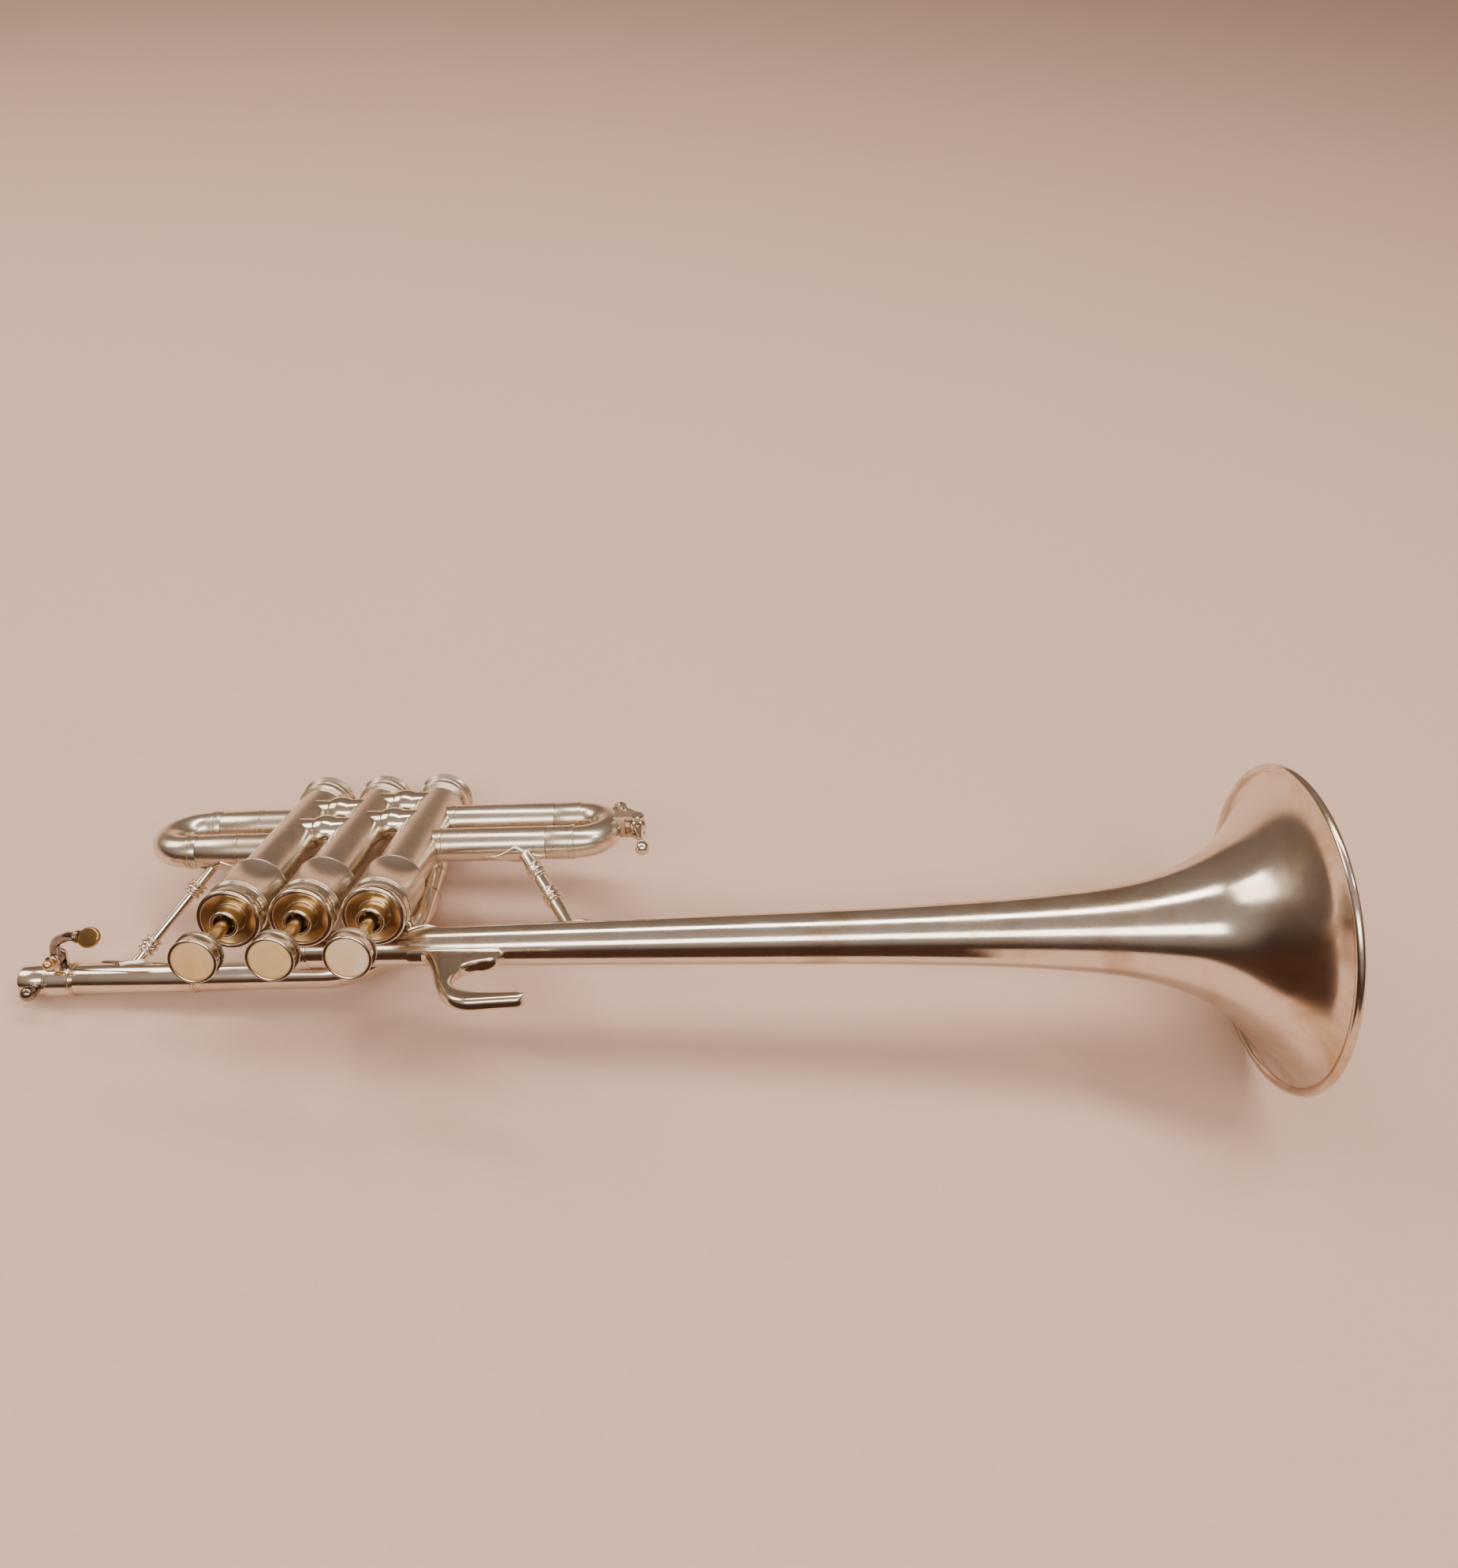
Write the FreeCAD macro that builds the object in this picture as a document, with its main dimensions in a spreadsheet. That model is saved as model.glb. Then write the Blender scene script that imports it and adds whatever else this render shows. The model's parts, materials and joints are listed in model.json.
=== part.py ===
"""A high-pitched three-valve cornet, lying on its right side, as an assembly of separate pieces.

Each piece is drawn in the instrument's own frame (millimetres): x runs forward to the bell along the
valve row, y runs to the player's left, and z runs up the valves to the finger buttons. Its zero is
the foot of the second valve. The last step lays every piece down in the resting frame, where Z is up,
X runs along the instrument to the bell, and the three places that touch the table have height zero.
"""
import FreeCAD, Part
import math
import os
import re
from FreeCAD import Matrix, Placement, Rotation, Vector

X, Y, Z = Vector(1, 0, 0), Vector(0, 1, 0), Vector(0, 0, 1)

doc = FreeCAD.newDocument("cornet")
sheet = doc.addObject("Spreadsheet::Sheet", "sizes")

DRIVING_SIZES = [
    # valve row
    ("valve_pitch", 25.5, "distance from one valve to the next"),
    ("casing_bore", 8.25, "radius of the lower casing's bore"),
    ("casing_radius", 9.5, "outer radius of the lower casing"),
    ("chamber_bore", 9.3, "inner radius of the upper casing"),
    ("chamber_radius", 11.0, "outer radius of the upper casing"),
    ("casing_foot", 1.6, "lowest point of the casing"),
    ("chamber_foot", 79.5, "where the upper casing begins"),
    ("neck_foot", 98.4, "where the neck for the top cap begins"),
    ("neck_top", 103.0, "top of the casing's neck"),
    ("neck_radius", 10.1, "outer radius of the neck"),
    ("bead_wire", 0.55, "wire radius of the casing's beads"),
    # caps
    ("cap_radius", 10.9, "outer radius of a cap's skirt"),
    ("cap_rim", 11.3, "outer radius of the top cap's rim"),
    ("cap_face", 106.8, "height of the top cap's rim"),
    ("collar_radius", 4.75, "outer radius of the collar round the stem"),
    ("collar_bore", 3.75, "stem hole in the top cap"),
    ("collar_top", 110.2, "top of the collar"),
    ("foot_cap_rim", 11.55, "outer radius of the bottom cap's bead"),
    # pistons and buttons
    ("piston_radius", 8.2, "outer radius of a piston"),
    ("piston_foot", 17.0, "lowest point of a piston at rest"),
    ("piston_shoulder", 72.0, "top of the ported part of a piston"),
    ("piston_top", 100.5, "top of a piston's spring barrel"),
    ("valve_stroke", 14.8, "travel of a valve"),
    ("guide_height", 2.2, "thickness of the valve guide"),
    ("stem_radius", 2.4, "radius of the stem"),
    ("button_foot", 126.3, "underside of a finger button at rest"),
    ("button_face", 134.8, "face of a finger button at rest"),
    ("button_radius", 8.1, "outer radius of a finger button"),
    ("pearl_radius", 7.1, "radius of the inlay"),
    # slides
    ("outer_slide", 6.65, "outer radius of an outer slide tube"),
    ("outer_slide_bore", 6.1, "bore of an outer slide tube, as a radius"),
    ("inner_slide", 6.05, "outer radius of an inner slide tube"),
    ("slide_bore", 5.5, "bore of the instrument, as a radius"),
    ("bow_radius", 6.3, "outer radius of a slide's bow"),
    ("low_leg", 24.7, "height of the slides' lower legs"),
    ("leg_spacing", 23.6, "distance between a slide's legs"),
    ("first_seam", 60.4, "first slide: valve row's middle to the seam"),
    ("first_bow", 65.8, "first slide: valve row's middle to the bow's centre"),
    ("third_seam", 77.4, "third slide: valve row's middle to the seam"),
    ("third_bow", 88.5, "third slide: valve row's middle to the bow's centre"),
    ("second_spacing", 20.0, "distance between the second slide's legs"),
    ("second_low_leg", 32.0, "height of the second slide's lower leg"),
    ("second_seam", 14.6, "second slide: valve axis to the seam"),
    ("second_bow", 18.2, "second slide: valve axis to the bow's centre"),
    # leadpipe
    ("leadpipe_side", -38.0, "the leadpipe's place across the instrument"),
    ("leadpipe_height", 79.4, "the leadpipe's place along the valves"),
    ("sleeve_radius", 5.9, "outer radius of the leadpipe's sleeve"),
    ("sleeve_bore", 5.35, "bore of the sleeve, as a radius"),
    ("leadpipe_radius", 5.6, "outer radius of the leadpipe's bend"),
    ("leadpipe_bore", 5.0, "bore of the leadpipe's bend, as a radius"),
    ("sleeve_front", -54.0, "front end of the sleeve"),
    ("sleeve_back", -112.4, "back end of the sleeve"),
    ("receiver_end", -122.5, "the mouthpiece end of the instrument"),
    ("receiver_bore", 4.75, "radius of the hole that takes the mouthpiece"),
    ("receiver_depth", 24.0, "how far the mouthpiece goes in"),
    ("clamp_radius", 6.5, "outer radius of the clamp ferrule"),
    ("clamp_length", 11.0, "length of the clamp ferrule"),
    # bell
    ("bell_side", -19.0, "the bell axis's place across the instrument"),
    ("bell_height", 94.4, "the bell axis's place along the valves"),
    ("bell_mouth", 346.0, "the bell's rim, forward of the second valve"),
    ("bell_start", -6.0, "where the straight bell tube begins"),
    ("bell_radius", 58.2, "outer radius of the rim"),
    ("bell_wall", 0.7, "thickness of the bell's sheet"),
    ("bell_bead", 1.6, "wire radius of the rim's bead"),
    ("tail_radius", 6.5, "outer radius of the bell's tail"),
]
for row, (alias, value, meaning) in enumerate(DRIVING_SIZES, start=1):
    sheet.set(f"A{row}", meaning)
    sheet.set(f"B{row}", str(value))
    sheet.setAlias(f"B{row}", alias)
doc.recompute()
ALIASES = {alias for alias, value, meaning in DRIVING_SIZES}


def size(alias):
    """The value of one driving size."""
    return float(sheet.get(alias))


def bound(text):
    """A formula of size names, written as the sheet's cells."""
    return re.sub("[a-z_]+", lambda word: ("sizes." if word[0] in ALIASES else "") + word[0], str(text))


def primitive(kind, direction, where, **formulas):
    """A Part primitive whose sizes and place are bound to the sheet."""
    item = doc.addObject(f"Part::{kind}", kind)
    item.Placement = Placement(Vector(), Rotation(Z, direction))
    for name, formula in formulas.items():
        item.setExpression(name, bound(formula))
    for axis, formula in zip("xyz", where):
        item.setExpression(f"Placement.Base.{axis}", bound(formula))
    return item


def cylinder(radius, length, where, direction=Z):
    return primitive("Cylinder", direction, where, Radius=radius, Height=length)


def cone(radius, far_radius, length, where, direction=Z):
    return primitive("Cone", direction, where, Radius1=radius, Radius2=far_radius, Height=length)


def ring(radius, wire, where, direction=Z):
    return primitive("Torus", direction, where, Radius1=radius, Radius2=wire)


def ball(radius, where):
    return primitive("Sphere", Z, where, Radius=radius)


def block(length, width, height, where):
    """A box of the given sizes along x, y and z, with its lowest corner at a place."""
    return primitive("Box", Z, where, Length=length, Width=width, Height=height)


def fused(*items):
    result = doc.addObject("Part::MultiFuse", "Fuse")
    result.Shapes = list(items)
    return result


def cut(base, *tools):
    result = doc.addObject("Part::Cut", "Cut")
    result.Base = base
    result.Tool = tools[0] if len(tools) == 1 else fused(*tools)
    return result


def drawn(shape):
    """A shape made with Part's own functions, as an object."""
    item = doc.addObject("Part::Feature", "Drawn")
    item.Shape = shape
    return item


PIECES = {}


def piece(node, item):
    """Name a finished piece. Its label is its node's name."""
    item.Label = node
    PIECES[node] = item
    return item


def tube(radius, bore, length, where, direction):
    return cut(cylinder(radius, length, where, direction), cylinder(bore, length, where, direction))


def double_bead(radius, where, direction, wire=0.5):
    """Two small beads side by side round a tube; where is the middle of the pair."""
    beads = []
    for offset in (-1.15 * wire, 1.15 * wire):
        place = [f"{formula} + {offset * part}" for formula, part in zip(where, direction)]
        beads.append(ring(radius, wire, place, direction))
    return beads


# ---------------------------------------------------------------- valves
VALVES = {1: "-valve_pitch", 2: "0", 3: "valve_pitch"}
UPPER_LEG = "low_leg + leg_spacing"
SECOND_UPPER_LEG = "second_low_leg + second_spacing"
LEADPIPE_PORT = 27.0                        # height at which the leadpipe meets the third casing
PORTS = {                                   # bores through each casing's wall: direction, y, height
    1: [(-X, "0", "low_leg"), (-X, "0", UPPER_LEG), (-Y, "0", UPPER_LEG)],
    2: [(-Y, "0", "second_low_leg"), (-Y, "0", SECOND_UPPER_LEG)],
    3: [(X, "0", "low_leg"), (X, "0", UPPER_LEG), (-Y, "0", LEADPIPE_PORT)],
}
CROSSOVER_SIDE = 3.5                        # the crossover tubes' place across the instrument
CROSSOVERS = ((1, 2, 40), (1, 2, 21), (2, 3, 34), (2, 3, 15))    # from valve, to valve, height
for first_valve, second_valve, level in CROSSOVERS:
    PORTS[first_valve].append((X, CROSSOVER_SIDE, level))
    PORTS[second_valve].append((-X, CROSSOVER_SIDE, level))
PORT_RADIUS = 5.0
PORT_REACH = 12                             # more than a casing's radius and less than its width
FOOT_NECK = 9.0                             # radius of the casing's threaded foot, inside the bottom cap
FOOT_NECK_TOP = 8.2
FIT = 0.05                                  # play between pieces that slip together
GUIDE_SEAT = "piston_shoulder + 0.3"        # height of the valve guide's underside
GUIDE_WIDTH = 4.0
GUIDE_REACH = 8.9                           # how far the guide's ends stand out from the valve's axis
BARREL_END = 1.8                            # thickness of the top of a piston's spring barrel
STEM_SOCKET = 2.2                           # how far a stem goes into its button
PEARL_DEPTH = 1.6


def casing(number, x):
    outer = fused(
        cylinder(FOOT_NECK, f"{FOOT_NECK_TOP} - casing_foot", (x, "0", "casing_foot")),
        cylinder("casing_radius", f"chamber_foot - {FOOT_NECK_TOP}", (x, "0", FOOT_NECK_TOP)),
        cylinder("chamber_radius", "neck_foot - chamber_foot", (x, "0", "chamber_foot")),
        cylinder("neck_radius", "neck_top - neck_foot", (x, "0", "neck_foot")),
        ring("chamber_radius - bead_wire / 2", "bead_wire", (x, "0", "chamber_foot + bead_wire")),
        ring("chamber_radius - bead_wire / 2", "bead_wire", (x, "0", "neck_foot - bead_wire")))
    hollow = [cylinder("casing_bore", "neck_top - casing_foot", (x, "0", "casing_foot")),
              cylinder("chamber_bore", "neck_top - chamber_foot", (x, "0", "chamber_foot")),
              block(GUIDE_WIDTH + 2 * FIT, 2 * (GUIDE_REACH + 2 * FIT), f"chamber_foot - ({GUIDE_SEAT})",
                    (f"{x} - {GUIDE_WIDTH / 2 + FIT}", -GUIDE_REACH - 2 * FIT, GUIDE_SEAT))]
    for direction, y, height in PORTS[number]:
        hollow.append(cylinder(PORT_RADIUS, PORT_REACH, (x, y, height), direction))
    piece(f"valve_casing_{number}", cut(outer, *hollow))


def bottom_cap(number, x):
    bead, end, floor, top, vent = 1.0, -0.8, 0.4, 8.0, 1.6
    outer = fused(
        cylinder("foot_cap_rim - 1.2", top - end, (x, "0", end)),
        ring(f"foot_cap_rim - {bead}", bead, (x, "0", "0")),
        ring("foot_cap_rim - 1.3", "0.5", (x, "0", "3.7")),
        ring("foot_cap_rim - 1.3", "0.6", (x, "0", "7.1")))
    inside = fused(
        cylinder(FOOT_NECK + FIT, top, (x, "0", floor)),
        cylinder(vent, floor - end + 2, (x, "0", end - 1)))
    piece(f"bottom_cap_{number}", cut(outer, inside))


def top_cap(number, x):
    rim, gap, lip, root = 0.8, 0.1, 0.5, "cap_face - 3.1"
    shell = fused(
        cylinder("cap_radius", f"cap_face - {rim} - (neck_foot + {gap})", (x, "0", f"neck_foot + {gap}")),
        ring(f"cap_rim - {rim}", rim, (x, "0", f"cap_face - {rim}")))
    dish = cone("8.9", "9.9", "2.2", (x, "0", "cap_face - 2.0"))
    collar = fused(
        cone("collar_radius + 1.6", "collar_radius", "1.6", (x, "0", "cap_face - 2.2")),
        cylinder("collar_radius - 0.25", f"collar_top - {lip} - ({root})", (x, "0", root)),
        ring(f"collar_radius - {lip}", lip, (x, "0", f"collar_top - {lip}")))
    whole = fused(cut(shell, dish), collar)
    inside = fused(
        cylinder(f"neck_radius + {FIT}", f"neck_top + {FIT} - neck_foot", (x, "0", "neck_foot")),
        cylinder("collar_bore", "collar_top + 1 - neck_foot", (x, "0", "neck_foot")))
    piece(f"top_cap_{number}", cut(whole, inside))


PASSAGES = ((X, "24.5"), (X, "41.5"), (Y, "58.5"))    # the piston's own through passages


def piston(number, x):
    wall, plate, passage_wall, window = 0.9, 1.2, 0.6, 4.3
    shell = tube("piston_radius", f"piston_radius - {wall}", "piston_top - piston_foot",
                 (x, "0", "piston_foot"), Z)
    plates = [cylinder("piston_radius", plate, (x, "0", height))
              for height in ("piston_foot", f"piston_shoulder - {plate}")]
    plates.append(cylinder("piston_radius", BARREL_END, (x, "0", f"piston_top - {BARREL_END}")))
    passages, bores = [], []
    for direction, height in PASSAGES:
        start = [f"{x} - {direction.x} * piston_radius", f"-{direction.y} * piston_radius", height]
        passages.append(cylinder(PORT_RADIUS + passage_wall, "piston_radius * 2", start, direction))
        bores.append(cylinder(PORT_RADIUS, "piston_radius * 2", start, direction))
    round_stock = cylinder("piston_radius", "piston_top - piston_foot", (x, "0", "piston_foot"))
    trimmed = doc.addObject("Part::Common", "Common")
    trimmed.Base = fused(shell, *plates, *passages)
    trimmed.Tool = round_stock
    slot = block(window, "20", "19.6", (f"{x} - {window / 2}", "-10", "piston_shoulder"))
    piece(f"piston_{number}", cut(trimmed, slot, *bores))


def valve_guide(number, x):
    corner = (f"{x} - {GUIDE_WIDTH / 2}", -GUIDE_REACH, GUIDE_SEAT)
    piece(f"valve_guide_{number}", fused(
        block(GUIDE_WIDTH, 2 * GUIDE_REACH, "guide_height", corner),
        cylinder("6.0", "guide_height", (x, "0", GUIDE_SEAT))))


def valve_spring(number, x):
    """A coil between the guide and the top of the piston's barrel."""
    wire, coil, turns = 0.35, 5.0, 6
    foot = f"{GUIDE_SEAT} + guide_height + {wire}"
    height = f"piston_top - {BARREL_END} - {wire} - ({foot})"
    helix = primitive("Helix", Z, (x, "0", foot), Radius=coil, Height=height, Pitch=f"({height}) / {turns}")
    helix.SegmentLength = 1
    section = primitive("Circle", Y, (f"{x} + {coil}", "0", foot), Radius=wire)
    coil_wire = doc.addObject("Part::Sweep", "Sweep")
    coil_wire.Sections = [section]
    coil_wire.Spine = helix
    coil_wire.Solid = True
    coil_wire.Frenet = True
    piece(f"valve_spring_{number}", coil_wire)


def valve_stem(number, x):
    piece(f"valve_stem_{number}", fused(
        cylinder("stem_radius", f"button_foot + {STEM_SOCKET} - piston_top", (x, "0", "piston_top")),
        cylinder("stem_radius + 1.5", "1.4", (x, "0", "piston_top"))))


def piston_felt(number, x):
    piece(f"piston_felt_{number}", tube("7.4", "4.1", "2.3", (x, "0", "piston_top"), Z))


def finger_button(number, x):
    back, lip = 1.5, 0.6
    cup = fused(
        cone("3.6", "button_radius - 0.8", back, (x, "0", "button_foot")),
        cylinder("button_radius + 0.2", "2.0", (x, "0", f"button_foot + {back}")),
        cylinder("button_radius - 0.3", "button_face - 2.0 - button_foot", (x, "0", f"button_foot + {back}")),
        ring(f"button_radius - {lip}", lip, (x, "0", f"button_face - {lip} - 0.1")))
    hollow = fused(
        cylinder("pearl_radius + 0.02", 2 * PEARL_DEPTH, (x, "0", f"button_face - {PEARL_DEPTH}")),
        cylinder("stem_radius", STEM_SOCKET, (x, "0", "button_foot")))
    piece(f"finger_button_{number}", cut(cup, hollow))


def pearl(number, x):
    hollow, depth = 60.0, 0.5               # radius and depth of the inlay's shallow face
    disc = cylinder("pearl_radius", PEARL_DEPTH, (x, "0", f"button_face - {PEARL_DEPTH}"))
    piece(f"pearl_inlay_{number}", cut(disc, ball(hollow, (x, "0", f"button_face + {hollow - depth}"))))


for valve_number, valve_x in VALVES.items():
    for make in (casing, bottom_cap, top_cap, piston, valve_guide, valve_spring, valve_stem,
                 piston_felt, finger_button, pearl):
        make(valve_number, valve_x)


def crossovers():
    """The four short bulbous tubes that carry the air from casing to casing."""
    wall, bulge = 0.7, 1.5
    tubes = []
    for valve, following, height in CROSSOVERS:
        start = (VALVES[valve], CROSSOVER_SIDE, height)
        middle = (f"{VALVES[valve]} + valve_pitch / 2", CROSSOVER_SIDE, height)
        outer = fused(
            cylinder(PORT_RADIUS + wall, "valve_pitch", start, X),
            ball(PORT_RADIUS + bulge, middle))
        tubes.append(cut(outer, cylinder(PORT_RADIUS, "valve_pitch", start, X)))
    casings = fused(*[cylinder("casing_radius", "chamber_foot", (x, "0", "0")) for x in VALVES.values()])
    piece("crossover_tubes", cut(fused(*tubes), casings))


crossovers()


# ---------------------------------------------------------------- slides
def half_ring(radius, wire, where, side):
    """Half a torus that stands upright in the plane of z and side, open away from side."""
    item = primitive("Torus", Z, where, Radius1=radius, Radius2=wire, Angle3="180")
    across = side.cross(Z)
    item.Placement = Placement(item.Placement.Base, Rotation(side.cross(across), side, across, "ZYX"))
    return item


def u_slide(name, side, start, legs, seam, bow, spacing, inner_start, beads):
    """A slide: two outer tubes on the casing, two inner tubes and a U bow. Distances run along side
    from the second valve, and start is the distance of the slide's own valve."""
    def along(distance, height):
        return [f"{side.x} * ({distance})", f"{side.y} * ({distance})", height]

    seam_gap = 0.05
    stock = cylinder("casing_radius", "chamber_foot", along(start, "0"))
    outer = []
    for height in legs:
        outer.append(cylinder("outer_slide", f"{seam} - {start}", along(start, height), side))
        for middle in beads:
            outer += double_bead("outer_slide", along(middle, height), side)
        outer.append(ring("outer_slide", "0.35", along(f"{seam} - 0.5", height), side))
    bores = [cylinder("outer_slide_bore", seam, along(start, height), side) for height in legs]
    piece(f"{name}_outer_tubes", cut(fused(*outer), stock, *bores))
    inner = [tube("inner_slide", "slide_bore", f"{bow} - ({inner_start})", along(inner_start, height), side)
             for height in legs]
    piece(f"{name}_inner_tubes", fused(*inner))

    middle = along(bow, f"{legs[0]} + {spacing} / 2")
    outside = [half_ring(f"{spacing} / 2", "bow_radius", middle, side)]
    for height in legs:
        collar = along(f"{seam} + {seam_gap}", height)
        outside.append(cylinder("outer_slide", f"{bow} - {seam} - {seam_gap}", collar, side))
        outside += double_bead("outer_slide", along(f"{bow} - 1.6", height), side, 0.45)
    inside = [half_ring(f"{spacing} / 2", "slide_bore", middle, side)]
    inside += [cylinder("inner_slide", f"{bow} - {seam}", along(seam, height), side) for height in legs]
    piece(f"{name}_bow", cut(fused(*outside), *inside))


u_slide("first_slide", -X, "valve_pitch", ("low_leg", UPPER_LEG), "first_seam", "first_bow", "leg_spacing",
        "37.5", ["44.8"])
u_slide("third_slide", X, "valve_pitch", ("low_leg", UPPER_LEG), "third_seam", "third_bow", "leg_spacing",
        "38.0", ["36.0"])
u_slide("second_slide", -Y, "0", ("second_low_leg", SECOND_UPPER_LEG), "second_seam", "second_bow",
        "second_spacing", "10.2", [])


# ---------------------------------------------------------------- bent tubes
def rounded_path(corners, radii):
    """A wire of straight runs through the corners, joined by tangent arcs."""
    edges = []
    start = corners[0]
    for before, corner, after, radius in zip(corners, corners[1:], corners[2:], radii):
        back = (before - corner).normalize()
        on = (after - corner).normalize()
        half_angle = back.getAngle(on) / 2
        reach = radius / math.tan(half_angle)
        bisector = (back + on).normalize()
        first, last = corner + back * reach, corner + on * reach
        middle = corner + bisector * (radius / math.sin(half_angle) - radius)
        if (first - start).Length > 0.001:
            edges.append(Part.LineSegment(start, first).toShape())
        edges.append(Part.Arc(first, middle, last).toShape())
        start = last
    if (corners[-1] - start).Length > 0.001:
        edges.append(Part.LineSegment(start, corners[-1]).toShape())
    return Part.Wire(edges)


def rod_along(path, radius):
    """A round rod whose middle is the path."""
    first = path.OrderedEdges[0]
    start = first.valueAt(first.FirstParameter)
    heading = first.tangentAt(first.FirstParameter)
    section = Part.Wire(Part.makeCircle(radius, start, heading))
    return path.makePipeShell([section], True, False)


def upright(radius, x, y, foot, top):
    return Part.makeCylinder(radius, top - foot, Vector(x, y, foot), Z)


# ---------------------------------------------------------------- leadpipe
LEADPIPE = ("leadpipe_side", "leadpipe_height")
LEADPIPE_SOCKET = 8.0                       # how far the bend goes into the sleeve


def leadpipe():
    """The bend from the sleeve, under the bell's tail, into the third casing."""
    side, height = size("leadpipe_side"), size("leadpipe_height")
    valve = size("valve_pitch")
    corners = [Vector(size("sleeve_front") - LEADPIPE_SOCKET, side, height),
               Vector(valve - 2.0, side, height),
               Vector(valve, side / 2, LEADPIPE_PORT + 2.0),
               Vector(valve, 0, LEADPIPE_PORT)]
    path = rounded_path(corners, [31.0, 9.0])
    outer = rod_along(path, size("leadpipe_radius"))
    slant = (corners[2] - corners[1]).normalize()
    bead = 0.5
    for distance in (39.0, 40.4, 52.0):     # the beads of the joint in the slanting run
        place = corners[1] + slant * distance
        outer = outer.fuse(Part.makeTorus(size("leadpipe_radius"), bead, place, slant))
    shape = outer.cut(rod_along(path, size("leadpipe_bore")))
    shape = shape.cut(upright(size("casing_radius"), valve, 0, 0, 90))
    piece("leadpipe_bend", drawn(max(shape.Solids, key=lambda solid: solid.Volume)))


sleeve = tube("sleeve_radius", "sleeve_bore", "sleeve_front - sleeve_back", ("sleeve_back",) + LEADPIPE, X)
socket_foot = (f"sleeve_front - {LEADPIPE_SOCKET}",) + LEADPIPE
socket = cylinder("leadpipe_radius + 0.02", LEADPIPE_SOCKET + 1, socket_foot, X)
front_bead = ring("sleeve_radius - 0.1", "0.35", ("sleeve_front - 0.4",) + LEADPIPE, X)
piece("leadpipe_sleeve", cut(fused(sleeve, front_bead), socket))
leadpipe()


CLAMP_PIVOT = (4.4, 3.4)                    # the pin's place: forward of the sleeve's end, and out from it
CLAMP_PIN = 1.2


def clamp_ferrule():
    """A band round the sleeve's end, with two ears for the clamp lever's pin."""
    pivot = (f"sleeve_back + {CLAMP_PIVOT[0]}", f"leadpipe_side + sleeve_radius + {CLAMP_PIVOT[1]}")
    band = cylinder("clamp_radius", "clamp_length", ("sleeve_back",) + LEADPIPE, X)
    bead = ring("clamp_radius - 0.1", "0.4", ("sleeve_back + clamp_length - 0.4",) + LEADPIPE, X)
    ears, ear, reach = [], 2.6, 4.0
    for foot, thickness in (("leadpipe_height - 3.6", 1.6), ("leadpipe_height + 2.3", 1.3)):
        ears.append(cylinder(ear, thickness, pivot + (foot,)))
        corner = (f"{pivot[0]} - {ear}", f"{pivot[1]} - {reach}", foot)
        ears.append(block(2 * ear, reach, thickness, corner))
    hollow = [cylinder("sleeve_radius", "clamp_length + 2", ("sleeve_back - 1",) + LEADPIPE, X),
              cylinder(CLAMP_PIN, "12", pivot + ("leadpipe_height - 6",))]
    piece("clamp_ferrule", cut(fused(band, bead, *ears), *hollow))
    pin = fused(cylinder(CLAMP_PIN, "8.4", pivot + ("leadpipe_height - 4.0",)),
                ball("2.1", pivot + ("leadpipe_height + 5.4",)))
    piece("clamp_pin", pin)


clamp_ferrule()


def clamp_lever():
    """A curved arm that turns on the clamp pin, and its oval thumb plate."""
    pivot = Vector(size("sleeve_back") + CLAMP_PIVOT[0],
                   size("leadpipe_side") + size("sleeve_radius") + CLAMP_PIVOT[1], size("leadpipe_height"))
    hub = Part.makeCylinder(2.5, 3.5, pivot - Z * 1.55, Z)
    knee, wrist, tip = Vector(1.2, 7.5, 0.6), Vector(9.0, 11.2, 3.6), Vector(15.0, 12.2, 6.2)
    path = rounded_path([pivot + Vector(0, 1.2, 0), pivot + knee, pivot + wrist, pivot + tip], [7.0, 9.0])
    arm = rod_along(path, 1.9).fuse(Part.makeTorus(1.9, 0.45, pivot + tip, tip - wrist))
    hole = Part.makeCylinder(CLAMP_PIN + FIT, 8, pivot - Z * 4, Z)
    piece("clamp_lever", drawn(arm.fuse(hub).cut(hole)))

    facing = Vector(-0.35, 0.5, 0.79).normalize()
    length_way = (X - facing * X.dot(facing)).normalize()
    middle = pivot + tip + (tip - wrist).normalize() * 5.4
    stretch = Matrix()
    stretch.A11, stretch.A22, stretch.A33 = 5.4, 3.9, 1.1       # half the oval's length, width and thickness
    plate = Part.makeSphere(1.0).transformGeometry(stretch)
    plate.Placement = Placement(middle, Rotation(length_way, facing.cross(length_way), facing, "XYZ"))
    piece("clamp_thumb_plate", drawn(plate.cut(arm)))


clamp_lever()

receiver_body = fused(
    cylinder("leadpipe_radius", "sleeve_back - receiver_end - 2.2", ("receiver_end + 2.0",) + LEADPIPE, X),
    cylinder("leadpipe_radius - 2.0", "2.0", ("receiver_end",) + LEADPIPE, X),
    ring("leadpipe_radius - 2.0", "2.0", ("receiver_end + 2.0",) + LEADPIPE, X),
    cylinder("sleeve_bore - 0.05", "44", ("receiver_end + 6.0",) + LEADPIPE, X))
receiver_bores = [cylinder("receiver_bore", "receiver_depth", ("receiver_end",) + LEADPIPE, X),
                  cylinder("4.3", "60", ("receiver_end",) + LEADPIPE, X)]
piece("mouthpiece_receiver", cut(receiver_body, *receiver_bores))

KNOB = ("receiver_end + 7.2", "leadpipe_side")
knob_foot = cut(fused(cylinder("1.7", "5.4", KNOB + ("leadpipe_height + 3.0",)),
                      ring("1.9", "0.7", KNOB + ("leadpipe_height + leadpipe_radius + 1.0",))),
                cylinder("leadpipe_radius", "20", ("receiver_end",) + LEADPIPE, X))
piece("pull_knob", fused(knob_foot, ball("2.9", KNOB + ("leadpipe_height + leadpipe_radius + 4.2",))))

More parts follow.
